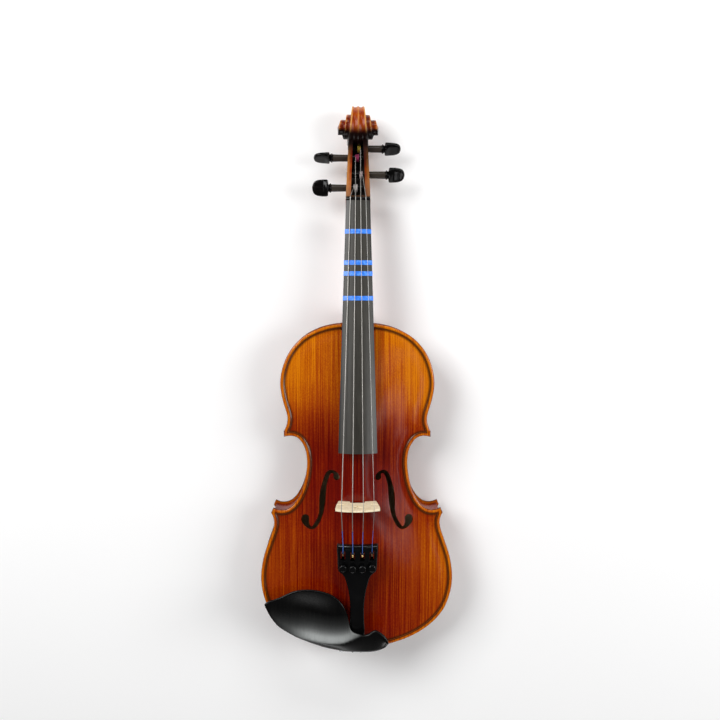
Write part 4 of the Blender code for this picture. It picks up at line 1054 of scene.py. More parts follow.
def volute_half(deg):
    return float(np.interp(deg, [-110, -60, -25, 0, 30, 70, 110, 150, 190, 250, 310, 360, 450, 540, 630, 720,
                                 810, 900],
                           [9.9, 8.3, 7.0, 6.5, 6.8, 7.9, 9.2, 10.6, 11.3, 11.5, 11.7, 12.2, 13.8, 15.6,
                            17.2, 18.6, 20.4, 21.6]))


def throat(deg):
    """How much painted shade round a turn: full in the throat, none at the top."""
    m = deg % 360
    return float(smooth((m - 86) / 32.0) * (1 - smooth((m - 225) / 40.0)))


def on_turn(deg, radius, x):
    t = math.radians(deg)
    return (x, EYE_Y + radius * math.cos(t), EYE_Z + radius * math.sin(t))


STEP = 5
LAST_TURN = 540
for sign, side in ((1, "treble"), (-1, "bass")):
    verts = []
    wear = []
    shade = []
    degs = list(range(-110, LAST_TURN + 1, STEP))
    for deg in degs:
        outer, inner = volute(deg), volute(deg + 360)
        h, nxt = volute_half(deg), volute_half(deg + 360)
        gap = outer - inner
        rows = [(outer, h - 0.75), (outer - 0.12, h - 0.3), (outer - 0.55, h), (outer - 0.9, h - 0.12),
                (outer - gap * 0.35, h - 0.75), (outer - gap * 0.62, h - 0.85),
                (inner + gap * 0.16, h - 0.45), (inner + 0.35, h + 0.1), (inner, h + 0.7),
                (inner, (h + nxt) / 2), (inner, nxt - 0.75)]
        verts += [on_turn(deg, r, sign * x) for r, x in rows]
        # gold on the chamfers as wear with a painted highlight; painted shade where the mark is low, in the
        # gap between the turns
        wear += [0.9, 1.0, 1.0, 0.75, 0.3, 0.15, 0.1, 0.12, 0.35, 0.1, 0.3]
        shade += [throat(deg)] * len(rows)
    faces = strip_faces(len(degs), len(rows))
    start = len(verts)
    degs = list(range(LAST_TURN, 901, STEP))
    for deg in degs:
        outer, h = volute(deg), volute_half(deg)
        rows = [(outer, h - 0.75), (outer - 0.15, h - 0.3), (outer - 0.5, h),
                (outer * 0.7, h + 0.15 * (21.8 - h)), (outer * 0.4, h + 0.6 * (21.9 - h)),
                (outer * 0.15, 21.9)]
        verts += [on_turn(deg, r, sign * x) for r, x in rows]
        # gold on the chamfers as wear with a painted highlight
        wear += [0.9, 1.0, 1.0, 0.5, 0.45, 0.6]
        shade += [throat(deg)] * len(rows)
    faces += strip_faces(len(degs), len(rows), start)
    apex = len(verts)
    verts.append((sign * 21.95, EYE_Y, EYE_Z))
    wear.append(0.7)
    shade.append(0.3)
    faces += [(inmost, apex, inmost + 6) for inmost in range(start + 5, apex - 6, 6)]
    piece("volute_" + side, verts, faces, SCROLL_MAPLE, slot="maple_varnished", angle=48, wear=wear,
          shade=shade)

back_line = [(560.4, 1.3), (552.5, 3.8), (543, 8.2), (533, 12.8), (523, 17.2), (512, 21.5), (500, 25.4),
             (492, 27.8), (485.0, 29.6)]
back_line = spline(back_line[::-1], 60)
STRIP_DEGS = list(range(-108, 262, 3))
path = np.array(tuples(back_line) + [on_turn(deg, volute(deg), 0)[1:] for deg in STRIP_DEGS])
run = np.gradient(path, axis=0)
run = run / np.linalg.norm(run, axis=1)[:, None]
out = np.stack([run[:, 1], -run[:, 0]], axis=1)
width = [float(np.interp(y, [485, 493, 549, 560], [12.6, 13.1, 10.4, 9.95])) for y, z in back_line]
width += [volute_half(deg) for deg in STRIP_DEGS]
verts = []
wear = []
shade = []
us = np.linspace(-1, 1, 33)
for (y, z), n, w, deg in zip(path, out, width, [0] * len(back_line) + STRIP_DEGS):
    for u in us:
        dip = 1.15 * math.sin(math.pi * u) ** 2 * min(1, w / 7)
        verts.append((u * (w - 0.75), y - n[0] * dip, z - n[1] * dip))
        # gold on the edges and the middle ridge as wear with a painted highlight; the flutes a little
        # darker, painted shade
        wear.append(1.0 if abs(u) > 0.9 else 0.30 + 0.45 * math.cos(math.pi * u) ** 8)
        shade.append(throat(deg))
piece("scroll_strip", verts, strip_faces(len(path), len(us)), SCROLL_MAPLE, slot="maple_varnished",
      angle=60, wear=wear, shade=shade)

cheek = [(485.8, 41.4), (493.0, 41.6), (493.1, 43.9)]
cheek += tuples(spline([(493.5, 44.0), (503, 43.7), (516, 42.6), (529, 41.3), (541, 39.8), (549, 39.1),
                        (554.5, 40.6)], 30))
cheek += [on_turn(deg, 15, 0)[1:] for deg in range(136, 252, 10)]
cheek += [(559.6, 2.2)] + [(y, z + 0.15) for y, z in reversed(back_line[1:-1])] + [(485.8, 29.5)]
cheek = np.array(cheek)[::-1]


def head_half(y):
    return np.interp(y, [486, 493, 549, 560, 566], [13.0, 13.1, 10.4, 9.95, 9.6])


def cheek_half(y, z):
    d = edge_distance(y, z, cheek)
    return head_half(y) - 0.75 * (1 - np.clip(d / 0.75, 0, 1)) ** 1.5


closed_cheek = np.concatenate([cheek, cheek[:1]])
cheek_spots = []
for depth in (0.25, 0.5, 0.8):
    for sgn in (1, -1):
        line = offset(closed_cheek, sgn * depth)[:-1]
        cheek_spots.append(line[clear(line[:, 0], line[:, 1], cheek, depth * 0.9)])
x, y = grid(np.arange(488, 562, 4.0), np.arange(4, 44, 4.0))
ok = clear(x, y, cheek, 1.6)
cheek_spots.append(np.stack([x[ok], y[ok]], axis=1))
pegbox = slab("pegbox", cheek, [], np.concatenate(cheek_spots), cheek_half, lambda y, z: -cheek_half(y, z),
              from_side, SCROLL_MAPLE, slot="maple_varnished", angle=35)

CAVITY = [(493.6, 7.7, 31.2), (503.0, 7.4, 29.2), (520.0, 6.9, 22.9), (536.0, 6.3, 17.8), (546, 5.8, 15.4),
          (553.0, 5.3, 14.2)]
hollow = cutter([[(-w, y, f), (w, y, f), (w, y, 60), (-w, y, 60)] for y, w, f in CAVITY])
boolean(pegbox, hollow, "DIFFERENCE")

# side, y and z of the axis, distance to the collar, degrees of turn of the head
PEGS = {"g": (-1, 502.6, 36.0, 31.4, 5.0), "e": (1, 517.0, 33.5, 32.4, 45.0),
        "d": (-1, 535.5, 28.5, 30.0, 70.0), "a": (1, 545.6, 27.0, 28.5, 60.0)}


PEG_SIDES = 40


def peg_radius(s):
    return 3.45 + 0.0165 * s


def peg_rings_of(y, z, side, profile, wide=(0, 1, 0), thin=(0, 0, 1)):
    return [ellipse((side * s, y, z), wide, thin, r, r, PEG_SIDES) for s, r in profile]


for side, y, z, collar, turn_deg in PEGS.values():
    bore = [(s, peg_radius(s) + 0.1) for s in (-20, 20)]
    boolean(pegbox, cutter(peg_rings_of(y, z, side, bore)), "DIFFERENCE")
spots = np.array([tuple(v.co) for v in pegbox.data.vertices]) / MM
depth = edge_distance(spots[:, 1] + BODY_MID, spots[:, 2], cheek)
# gold along the outer edges of the cheeks: wear with a painted highlight
mark(pegbox.data, "wear", np.where(np.abs(spots[:, 0]) > 8.0, 0.36 + 0.45 * smooth(1.2 - depth), 0.3))
along = spots[:, 1] + BODY_MID
# painted shade: darker towards the scroll and darker on the treble cheek, only on the upper parts
bass = np.interp(along, [506, 520, 533, 541, 548], [0.0, 0.05, 0.4, 0.75, 1.0])
treble = np.interp(along, [500, 508, 520, 533, 541, 548], [0.3, 0.3, 0.5, 0.8, 0.9, 1.0])
front = smooth((spots[:, 2] - 12) / 16)
mark(pegbox.data, "shade", np.where(spots[:, 0] < 0, bass, treble) * front)
# pale towards the nut
mark(pegbox.data, "worn", np.interp(along, [488, 498, 512, 522], [0.85, 0.75, 0.30, 0.0]) * front)
inside = Look("pegbox_inside", (0.012, 0.006, 0.004), 0.6)
inside.rough(inside.level(inside.noise(300.0), 0.3, 0.7, 0.5, 0.8))
dust = inside.level(inside.noise(200.0), 0.4, 0.7)
inside.colour(inside.mix(dust, (0.012, 0.005, 0.003), (0.03, 0.012, 0.006)))
pegbox.data.materials.append(inside.mat)
cavity_y, cavity_half, cavity_floor = np.array(CAVITY).T
for face in pegbox.data.polygons:
    x, y, z = np.array(face.center) / MM + [0, BODY_MID, 0]
    w = np.interp(y, cavity_y, cavity_half) + 0.06
    floor = np.interp(y, cavity_y, cavity_floor)
    if 493.5 < y < 553.1 and abs(x) < w and floor - 0.5 < z < 43.6:
        if abs(face.normal.z) < 0.9 or z < floor + 0.5:
            face.material_index = 1

# ------------------------------------------------------------------ pegs
HEAD_SHAPE = [(0.0, 3.3, 3.2), (0.25, 4.2, 3.5), (0.45, 6.3, 3.9), (0.7, 7.8, 4.1), (1.1, 8.5, 4.2),
              (1.8, 8.85, 4.2), (3.5, 9.0, 4.1), (6.5, 8.95, 3.85), (9.5, 8.7, 3.6), (12.0, 8.25, 3.3),
              (14.0, 7.4, 3.0), (15.4, 6.3, 2.7), (16.5, 4.7, 2.2), (17.2, 2.9, 1.5), (17.5, 1.4, 0.8),
              (17.6, 0.3, 0.2)]
head_s, head_wide, head_thin = np.array(HEAD_SHAPE).T
fine_s = np.concatenate([np.arange(0, 2, 0.12), np.arange(2, 15, 0.6), np.arange(15, 17.61, 0.12)])
WINDING = {"g": ((0.55, 0.50, 0.48), (0.35, 0.30, 0.30)), "d": ((0.55, 0.03, 0.16), (0.30, 0.01, 0.08)),
           "a": ((0.80, 0.60, 0.08), (0.5, 0.33, 0.03)), "e": ((0.66, 0.52, 0.52), (0.42, 0.30, 0.32))}
WIND_X = {"g": -4.6, "d": -2.8, "a": 2.8, "e": 4.8}
STRING_RADIUS = {"g": 0.42, "d": 0.4, "a": 0.36, "e": 0.22}
winding_look = {k: silk("silk_peg_" + k, *v) for k, v in WINDING.items()}
for key, (side, y, z, collar, turn_deg) in PEGS.items():
    t = math.radians(turn_deg)
    wide = np.array([0, math.cos(t), math.sin(t)])
    thin = np.array([0, -math.sin(t), math.cos(t)])
    far = -float(head_half(y)) - 0.3
    shape = [(far, 0.4), (far + 0.02, 2.4), (far + 0.12, peg_radius(far) - 0.25),
             (far + 0.4, peg_radius(far))]
    shape += [(s, peg_radius(s)) for s in (-6, 0, 6, 10, 12, 18, 24)]
    shape += [(collar - 3.6, peg_radius(collar)), (collar - 3.0, peg_radius(collar) + 0.05),
              (collar - 2.75, 4.15), (collar - 2.5, 4.7), (collar - 2.1, 4.95), (collar - 1.6, 4.95),
              (collar - 1.3, 4.6), (collar - 1.1, 4.05), (collar - 0.9, 3.95), (collar - 0.75, 4.3),
              (collar - 0.5, 4.45), (collar - 0.2, 4.3)]
    peg_rings = peg_rings_of(y, z, side, shape, wide, thin)
    for s in fine_s:
        a = float(np.interp(s, head_s, head_wide))
        b = float(np.interp(s, head_s, head_thin))
        ring = []
        for k in range(PEG_SIDES):
            u = 2 * math.pi * k / PEG_SIDES
            cu, su = math.cos(u), math.sin(u)
            flat = abs(su) ** 0.75 * math.copysign(1, su)
            hollow = 1 - 0.34 * float(smooth((a - 5.0) / 3.0)) * (1 - cu * cu) * float(smooth((s - 1.5) / 5))
            square = abs(cu) ** 0.85 * math.copysign(1, cu)
            ring.append(np.array([side * (collar + s), y, z]) + a * square * wide + b * flat * thin * hollow)
        peg_rings.append(ring)
    # painted sheen: paler brown along the bare middle of the shaft
    shaft_sheen = [0.5 if 11.5 < s < collar - 3.4 else 0.0 for s, r in shape] + [0.0] * len(fine_s)
    loft("peg_turned_" + key, peg_rings, FITTING, body="peg_" + key, replaces=["peg_" + key],
         slot="fitting_black", angle=46, worn=np.repeat(shaft_sheen, PEG_SIDES))
    sr = STRING_RADIUS[key]
    coil = []
    turns = 4.6 if key != "e" else 6.0
    for k in range(int(turns * 20) + 1):
        u = math.pi / 2 - 2 * math.pi * k / 20
        across = WIND_X[key] - side * (k / 20) * (2 * sr + 0.06)
        r = peg_radius(0) + sr + 0.02
        coil.append((across, y + r * math.cos(u), z + r * math.sin(u)))
    tube("winding_" + key, coil, sr, 8, winding_look[key], body="peg_" + key)

# ------------------------------------------------------------------ fingerboard, tapes, nut, saddle
def board_edge(y):
    """Height of the board's crown at its sides."""
    return board_top(y) - sag(board_half(y))


board_rings = []
edge_shade = []
for y in np.linspace(223.5, NUT_Y, 45):
    half = board_half(y)
    base = glue_plane(y) + 0.05
    crown = []
    for k in range(33):
        x = half * math.cos(math.pi * k / 32)
        crown.append((x, y, board_top(y) - sag(x)))
    edge = [(-half, y, board_edge(y) - 0.5), (-half, y, base + 0.4), (-half + 0.4, y, base)]
    hollow = 3.4 * float(smooth((346 - y) / 5)) if y < 346 else 0.0
    under = []
    for k in range(1, 12):
        x = -(half - 3.2) + 2 * (half - 3.2) * (k - 1) / 10
        under.append((x, y, base + hollow * math.sqrt(max(1 - (x / (half - 3.0)) ** 2, 0))))
    rest = edge + under + [(half - 0.4, y, base), (half, y, base + 0.4), (half, y, board_edge(y) - 0.5)]
    board_rings.append(crown + rest)
    # painted shade: darker towards the edges of the crown, and on the sides and underside
    edge_shade += [float(smooth((abs(p[0]) / half - 0.86) / 0.10)) for p in crown] + [1.0] * len(rest)
loft("board", board_rings, BOARD, replaces=["fingerboard"], slot="fingerboard_black", angle=32,
     side=edge_shade)

for number, at in enumerate((455.6, 422.7, 411.2, 385.3), 1):
    rings = []
    for y in (at - 2.4, at - 2.3, at, at + 2.3, at + 2.4):
        half = board_half(y)
        base = glue_plane(y) + 1.3
        corner = board_edge(y) - 0.3
        lift = 0.30 if abs(y - at) < 2.35 else 0.12
        outer = [(half + lift, y, base), (half + lift, y, corner)]
        inner = [(half + 0.04, y, base), (half + 0.04, y, corner)]
        for k in range(25):
            x = half * math.cos(math.pi * k / 24)
            ox = x * (half + lift) / half if k in (0, 24) else x
            outer.append((ox, y, board_top(y) - sag(x) + lift))
            inner.append((x, y, board_top(y) - sag(x) + 0.04))
        outer += [(-half - lift, y, corner), (-half - lift, y, base)]
        inner += [(-half - 0.04, y, corner), (-half - 0.04, y, base)]
        rings.append(outer + inner[::-1])
    loft("tape_%d" % number, rings, TAPE, replaces=["finger_tape_%d" % number], slot="tape_blue", angle=50)

NUT_CROWN = 49.4
nut_rings = []
for y, drop in ((488.8, 0.9), (488.95, 0.45), (489.3, 0.1), (489.9, 0.0), (491.0, 0.15), (491.9, 0.55),
                (492.5, 1.1), (492.8, 1.9)):
    xs = [12.85 * math.cos(math.pi * k / 32) for k in range(33)]
    nut_rings.append([(x, y, NUT_CROWN - drop - sag(x)) for x in xs] + [(-12.85, y, 42.2), (12.85, y, 42.2)])
loft("nut_top", nut_rings, NUT_BLACK, replaces=["nut"], slot="nut_black", angle=40)

saddle_line = spline([(0.4, 53.0), (1.0, 56.2), (2.4, 57.6), (4.0, 57.6), (5.6, 56.2), (6.7, 52.5),
                      (7.0, 49.5)], 22)
saddle_side = [(7.0, 46.1), (0.4, 46.1)] + tuples(saddle_line)
saddle_rings = []
for x in (-17.8, -17.5, -16.8, -14.0, -8.0, 0.0, 8.0, 14.0, 16.8, 17.5, 17.8):
    low = 5.4 * float(smooth((abs(x) - 6) / 11.8))
    saddle_rings.append([(x, y, max(46.1, z - low * max((z - 50.6), 0) / 7.0)) for y, z in saddle_side])
loft("saddle_block", saddle_rings, NUT_BLACK, replaces=["saddle"], slot="nut_black", angle=50)

# ------------------------------------------------------------------ bridge
BRIDGE_Y = 166.0


def single(field, x, y):
    return float(field(np.array([float(x)]), np.array([float(y)]))[0])


def belly_level(x, y):
    return BELLY_EDGE + BELLY_RISE * arch(x, y)


def crown_line(x):
    return 93.2 - sag(x) - 0.03 * x


def foot_z(x):
    return single(belly_level, x, BRIDGE_Y) + 0.05


def bridge_half(side):
    leg = [(20.2, foot_z(20.0) + 0.6), (20.4, foot_z(20.2) + 2.0), (21.0, 65.5), (21.8, 70.0)]
    mouth = [(21.5, 70.4), (19.0, 70.6), (15.6, 70.0), (13.4, 70.9), (12.9, 73.4), (14.6, 75.2),
             (17.0, 75.0), (19.6, 73.1), (22.0, 72.0)]
    wing = [(22.2, 72.4), (22.6, 76.5), (23.0, 81.0), (23.3, 84.6)]
    top = [(23.2, crown_line(side * 23.2)), (20.6, crown_line(side * 20.6))]
    top += [(x, crown_line(side * x)) for x in (18.0, 15.5, 13.0, 10.5, 8.0, 5.2, 2.6)]
    foot = [(x, foot_z(x)) for x in (8.2, 10.5, 13.0, 15.5, 18.0, 19.9)]
    curve = [*spline(leg, 24), *spline(mouth, 44), *spline(wing, 34)]
    return [(side * x, z) for x, z in foot + curve + top]


low = foot_z(8.2)
under = spline([(-8.0, low + 0.6), (-8.3, low + 2.6), (-6.8, low + 4.4), (-4.0, low + 5.2), (0.0, low + 4.9),
                (4.0, low + 5.2), (6.8, low + 4.4), (8.3, low + 2.6), (8.0, low + 0.6)], 40)
bridge_outline = bridge_half(1) + [(0.0, crown_line(0))] + bridge_half(-1)[::-1] + tuples(under)
heart = spline([(0.0, 75.6), (1.5, 77.9), (3.6, 79.2), (5.1, 80.4), (5.4, 82.2), (4.2, 83.7), (2.4, 83.9),
                (1.1, 82.9), (0.6, 81.0), (0.0, 79.6), (-0.6, 81.0), (-1.1, 82.9), (-2.4, 83.9),
                (-4.2, 83.7), (-5.4, 82.2), (-5.1, 80.4), (-3.6, 79.2), (-1.5, 77.9), (0.0, 75.6)], 76)[:-1]


def bridge_front(x, z):
    return BRIDGE_Y + 2.2 - 1.5 * np.clip((z - 60) / 34, 0, 1) ** 1.4


def bridge_rear(x, z):
    return np.full(x.shape, BRIDGE_Y - 2.1) + 1.2 * np.clip((z - 60) / 34, 0, 1) ** 2


gx, gz = grid(np.arange(-24, 25, 2.0), np.arange(59, 95, 2.0))
ok = clear(gx, gz, bridge_outline, 0.9) & clear(gx, gz, heart, 0.9, inside=False)
slab("bridge_cut", bridge_outline, [heart], list(zip(gx[ok], gz[ok])), bridge_front, bridge_rear, from_front,
     BRIDGE_WOOD, replaces=["bridge"], slot="maple_raw", angle=40)

# ------------------------------------------------------------------ tailpiece and fine tuners
TUNER_X = {"g": -15.3, "d": -5.1, "a": 5.1, "e": 15.3}
CROWN_X = {"g": -17.0, "d": -5.7, "a": 5.7, "e": 17.0}
NUT_X = {"g": -8.25, "d": -2.75, "a": 2.75, "e": 8.25}
TUNER_Y = 102.3
KNOB_SIDES = 96
TAIL_HALF = [(0, 15.6), (3.5, 15.8), (6.2, 17.2), (7.9, 20.5), (8.4, 28), (7.8, 39), (7.4, 51), (7.8, 61),
             (8.9, 70.5), (10.4, 78.5), (12.4, 86), (14.4, 91.0), (17.2, 93.6), (19.8, 95.6), (20.9, 99.5),
             (21.3, 109), (21.8, 118), (22.0, 123.5), (21.6, 126.3)]
tail_half = spline(TAIL_HALF, 110)
tail_front = [(x, 126.7 + 0.25 * math.cos(x / 21 * math.pi / 2)) for x in np.linspace(20.6, -20.6, 40)]
tail_outline = tuples(tail_half) + tail_front + mirrored(tail_half[1:])


def tail_crown(y):
    return 64.6 + (y - 18) * 0.187


def tail_top(x, y):
    flat = np.interp(y, [15, 60, 95, 128], [26.0, 30.0, 44.0, 46.0])
    ridge = 1.05 * np.exp(-((y - 124.2) / 1.15) ** 2) - 0.35 * np.exp(-((y - 121.4) / 1.2) ** 2)
    return tail_crown(y) - (flat - np.sqrt(flat ** 2 - np.minimum(np.abs(x), 22.5) ** 2)) + ridge


def tail_rounded(x, y):
    d = edge_distance(x, y, tail_outline)
    return tail_top(x, y) - 1.6 * (1 - np.sqrt(1 - (1 - np.clip(d / 1.6, 0, 1)) ** 2))


def tail_under(x, y):
    return tail_crown(y) - 5.0 - x * x / 110 - np.interp(y, [15, 40, 90], [0.0, 0.6, 1.4])


def ring_of(x, y, r, count):
    turns = [2 * math.pi * k / count for k in range(count)]
    return [(x + r * math.cos(t), y + r * math.sin(t)) for t in turns]


tail_holes = []
for key, x in TUNER_X.items():
    tail_holes.append(ring_of(x, TUNER_Y, 1.64, 28))
    slot_line = [(x + 1.5 * sx + 0.8 * math.cos(a), (110.3 if sy < 0 else 119.4) + 0.8 * math.sin(a))
                 for sx, sy, a0 in ((1, -1, -90), (1, 1, 0), (-1, 1, 90), (-1, -1, 180))
                 for a in np.radians(np.linspace(a0, a0 + 90, 6))]
    tail_holes.append(slot_line)
gx, gy = grid(np.arange(-22, 22.1, 1.7), np.arange(16, 128, 1.7))
ok = clear(gx, gy, tail_outline, 2.2)
for hole in tail_holes:
    ok &= clear(gx, gy, hole, 0.8, inside=False)
spots = list(zip(gx[ok], gy[ok]))
closed_tail = np.array(tail_outline + tail_outline[:1])
for depth in (0.2, 0.55, 1.0, 1.6):
    line = offset(closed_tail, depth)[:-1]
    ok = clear(line[:, 0], line[:, 1], tail_outline, depth * 0.85)
    for hole in tail_holes:
        ok &= ~in_polygon(line[:, 0], line[:, 1], hole)
    spots += tuples(line[ok])
slab("tailpiece_shell", tail_outline, tail_holes, spots, tail_rounded, tail_under, as_is, COMPOSITE,
     replaces=["tailpiece"], slot="composite_black", angle=50)


def side_cut(name, outline, x, half, **more):
    """A plate with its outline seen from the side, half to each side of x."""
    slab(name, outline, [], [], flat_at(x + half), flat_at(x - half), from_side, COMPOSITE,
         slot="composite_black", **more)


for key, x in TUNER_X.items():
    deck = single(tail_top, x, TUNER_Y)
    pivot_z = single(tail_under, x, 110.0) - 0.8 - 1.0
    arm_z = single(tail_under, abs(x) + 2.0, TUNER_Y) - 0.6
    lip = single(tail_top, x, 118)
    prong = spline([(119.5, pivot_z + 1.4), (119.1, lip - 0.4), (119.4, lip + 1.4), (120.1, lip + 2.3),
                    (119.4, lip + 2.9), (118.2, lip + 2.5), (117.3, lip + 0.8), (116.9, lip - 1.0),
                    (116.7, pivot_z + 1.2)], 26)
    prong_line = [(116.7, pivot_z + 0.5), (119.4, pivot_z + 0.4)] + tuples(prong)
    for part, shift in (("a", -1.15), ("b", 1.15)):
        side_cut("prong_%s_%s" % (key, part), prong_line, x + shift, 0.5, body="tuner_lever_" + key,
                 bevel=(0.15, 2, 50))
    arm_line = [(99.6, arm_z - 1.6), (104.0, arm_z - 1.7), (112.0, pivot_z - 1.5), (118.4, pivot_z - 1.3),
                (119.5, pivot_z - 0.4), (119.6, pivot_z + 0.8), (118.6, pivot_z + 1.2),
                (112.0, pivot_z + 0.6),
                (104.0, arm_z - 0.1), (99.6, arm_z)]
    side_cut("lever_" + key, arm_line, x, 1.65, body="tuner_lever_" + key,
             replaces=["tuner_lever_" + key], bevel=(0.25, 2, 40))
    tip = arm_z + 0.55
    base = deck + 2.4
    shank = [(0.0, 0.8)]
    shank += [(0.25 * k, 1.5 - 0.14 * (k % 2)) for k in range(1, int((deck + 2.0 - tip) / 0.25))]
    shank += [(deck + 2.3 - tip, 1.5)]
    turned("tuner_shank_" + key, (x, TUNER_Y, tip), (0, 0, 1), shank, 20, NICKEL, body="tuner_screw_" + key,
           slot="clamp_steel", angle=80)
    knob_rings = []
    for s, r, ridge in ((0, 1.0, 0), (0.01, 3.2, 0), (0.25, 3.55, 0.3), (0.6, 3.9, 1.0), (3.6, 3.9, 1.0),
                        (4.2, 3.75, 0.6), (4.6, 3.3, 0.1), (4.75, 2.6, 0), (4.7, 1.6, 0), (4.6, 0.3, 0)):
        ring = []
        for k in range(KNOB_SIDES):
            u = 2 * math.pi * k / KNOB_SIDES
            rr = r - 0.28 * ridge * (0.5 + 0.5 * math.cos(24 * u))
            ring.append((x + rr * math.cos(u), TUNER_Y + rr * math.sin(u), base + s))
        knob_rings.append(ring)
    loft("tuner_knob_" + key, knob_rings, COMPOSITE, body="tuner_screw_" + key,
         replaces=["tuner_screw_" + key],
         slot="composite_black", angle=42)
    profile = [(-0.95, 0.5), (-0.94, 1.1), (-0.7, 1.4), (-0.3, 1.55), (0.3, 1.55), (0.7, 1.4), (0.94, 1.1),
               (0.95, 0.5)]
    turned("ball_" + key, (x, 116.0, lip + 0.9), (1, 0, 0), profile, 24,
           BRASS if key in "da" else DARK_BRASS,
           body="tuner_lever_" + key, slot="string_wound", angle=60)

# ------------------------------------------------------------------ strings
for key, radius in STRING_RADIUS.items():
    side, peg_y, peg_z, collar, turn_deg = PEGS[key]
    nx, bx, tx = NUT_X[key], CROWN_X[key], TUNER_X[key]
    nut_z = NUT_CROWN - sag(nx) + radius + 0.02
    crown = crown_line(bx) + radius + 0.02
    fret = single(tail_top, tx, 124.2) + radius + 0.02
    hook = single(tail_top, tx, 118) + 1.3
    peg_top = peg_z + peg_radius(0) + radius
    bent = [(nx * 0.985, 493.2, nut_z - 1.35), (nx * 0.99, 492.5, nut_z - 0.6), (nx, 491.4, nut_z - 0.14),
            (nx, 490.2, nut_z), (nx, 489.2, nut_z)]
    head = [(WIND_X[key], peg_y, peg_top)] + bent
    top = (bx, BRIDGE_Y + 0.75, crown - 0.03)
    after = (bx, BRIDGE_Y - 1.2, crown - 0.05)
    end = (tx, 126.6, fret + 0.15)
    run = [(nx, 489.3, nut_z)] + [between((nx, 489.2, nut_z), top, k / 12) for k in range(1, 12)]
    run += [top, (bx, BRIDGE_Y + 0.3, crown), (bx, BRIDGE_Y - 0.7, crown), after]
    metal_look = STEEL if key == "e" else WOUND
    slot_name = "string_steel" if key == "e" else "string_wound"
    silk_from = (after[1] - 143.5) / (after[1] - end[1])
    run.append(between(after, end, silk_from))
    tube("string_run_" + key, run, radius, 12, metal_look, replaces=["string_" + key], slot=slot_name,
         angle=60)
    tail = [between(after, end, t) for t in (silk_from - 0.003, (silk_from + 1) / 2)] + [end]
    tail += [(tx, y, z) for y, z in ((125.2, fret + 0.03), (124.2, fret), (123.2, fret - 0.05),
                                     (121.5, fret - 0.7), (119.6, hook), (117.2, hook - 0.45))]
    tube("string_tail_" + key, tail, radius + 0.06, 12, BLUE_SILK, slot=slot_name, angle=60)
    tube("string_head_" + key, head, radius + (0.05 if key != "e" else 0.12), 10, metal_look, slot=slot_name,
         angle=60)

# ------------------------------------------------------------------ tail cord and end button
cord_half = [(3.6, 15.4, 61.6), (3.9, 9.0, 60.3), (4.2, 3.6, 59.0), (4.5, 0.2, 57.2), (4.9, -1.3, 52.0),
             (6.0, -2.0, 34.0), (5.6, -2.0, 27.0), (3.2, -2.0, 24.6)]
cord_path = [(-x, y, z) for x, y, z in cord_half] + [(0.0, -2.0, 23.9)] + cord_half[::-1]
tube("cord", spline(cord_path, 120), 1.0, 12, CORD, replaces=["tail_cord"], slot="cord_black", angle=70)
button = spline([(16.8, 3.8), (17.0, 6.0), (17.8, 6.6), (18.9, 6.2), (19.8, 4.9), (21.2, 4.6), (22.4, 4.9),
                 (23.2, 6.6), (24.4, 7.4), (26.0, 7.4), (27.6, 6.6), (28.8, 5.0), (29.5, 2.8), (29.8, 0.4)],
                60)
turned("button", (0, 19, 30.5), (0, -1, 0), [(0, 3.4)] + tuples(button), 40, FITTING,
       replaces=["end_button"], slot="fitting_black", angle=40)

# ------------------------------------------------------------------ chin rest
REST = [(-99.0, 59.0), (-94.5, 47.5), (-83.5, 33.0), (-66, 20.6), (-49.5, 13.4), (-34.5, 8.4), (-15, 5.1),
        (10, 4.9), (25, 7.7), (33.6, 14.6), (30.6, 23.6), (24.5, 28.8), (19, 30.9), (14, 28.0), (9, 25.6),
        (0, 26.0), (-5.4, 28.4), (-8.0, 34), (-9.2, 40), (-12.2, 51.5), (-17, 60), (-25, 67.2),
        (-39.6, 73.0), (-53.5, 74.6), (-69, 72.2), (-87, 64.4)]
rest_line = spline(REST, 300, closed=True)[:-1]
closed_rest = np.concatenate([rest_line, rest_line[:1]])
CREASE = [(-99, 59), (-85, 35.5), (-77.6, 30), (-65.5, 23.5), (-51.6, 19.1), (-36, 15.7), (-22.2, 15.2),
          (-13.5, 17.1), (-4.8, 20.9), (5.6, 24.9), (12.5, 26.1), (19, 27.5), (25, 24.5), (30, 20), (34, 15)]
crease_line = spline(CREASE, 120)


def rest_crease(x):
    return np.interp(x, crease_line[:, 0], crease_line[:, 1])


def rest_level(x, y, d):
    """The dish, ended by its crease; below it the skirt and the arm fall to the outline."""
    crease = rest_crease(x)
    bottom = np.interp(x, [p[0] for p in REST[:10]], [p[1] for p in REST[:10]])
    level = np.maximum(y, crease)
    along = 0.953 * (x + 52) - 0.304 * (level - 44.5)
    across = 0.304 * (x + 52) + 0.953 * (level - 44.5)
    dish = np.exp(-1.2 * ((along / 51) ** 2 + (across / 29) ** 2)) - 0.25
    fall = 4.2 * np.clip((crease - y) / np.maximum(crease - bottom, 1.0), 0, 1) ** 1.4
    rim = 71.5 + 0.036 * np.clip(-x - 30, 0, 80) + 1.4 * smooth((x + 24) / 12)
    return rim - 12.0 * dish - fall - 1.4 * (1 - np.sqrt(1 - (1 - np.clip(d / 1.6, 0, 1)) ** 2))


def rest_top(x, y):
    return rest_level(x, y, edge_distance(x, y, rest_line))


def rest_under(x, y):
    d = edge_distance(x, y, rest_line)
    thick = 2.6 + 1.2 * np.clip((y - rest_crease(x)) / 6, 0, 1) * np.clip(d / 4, 0, 1)
    return rest_level(x, y, np.maximum(d, 1.6)) - thick


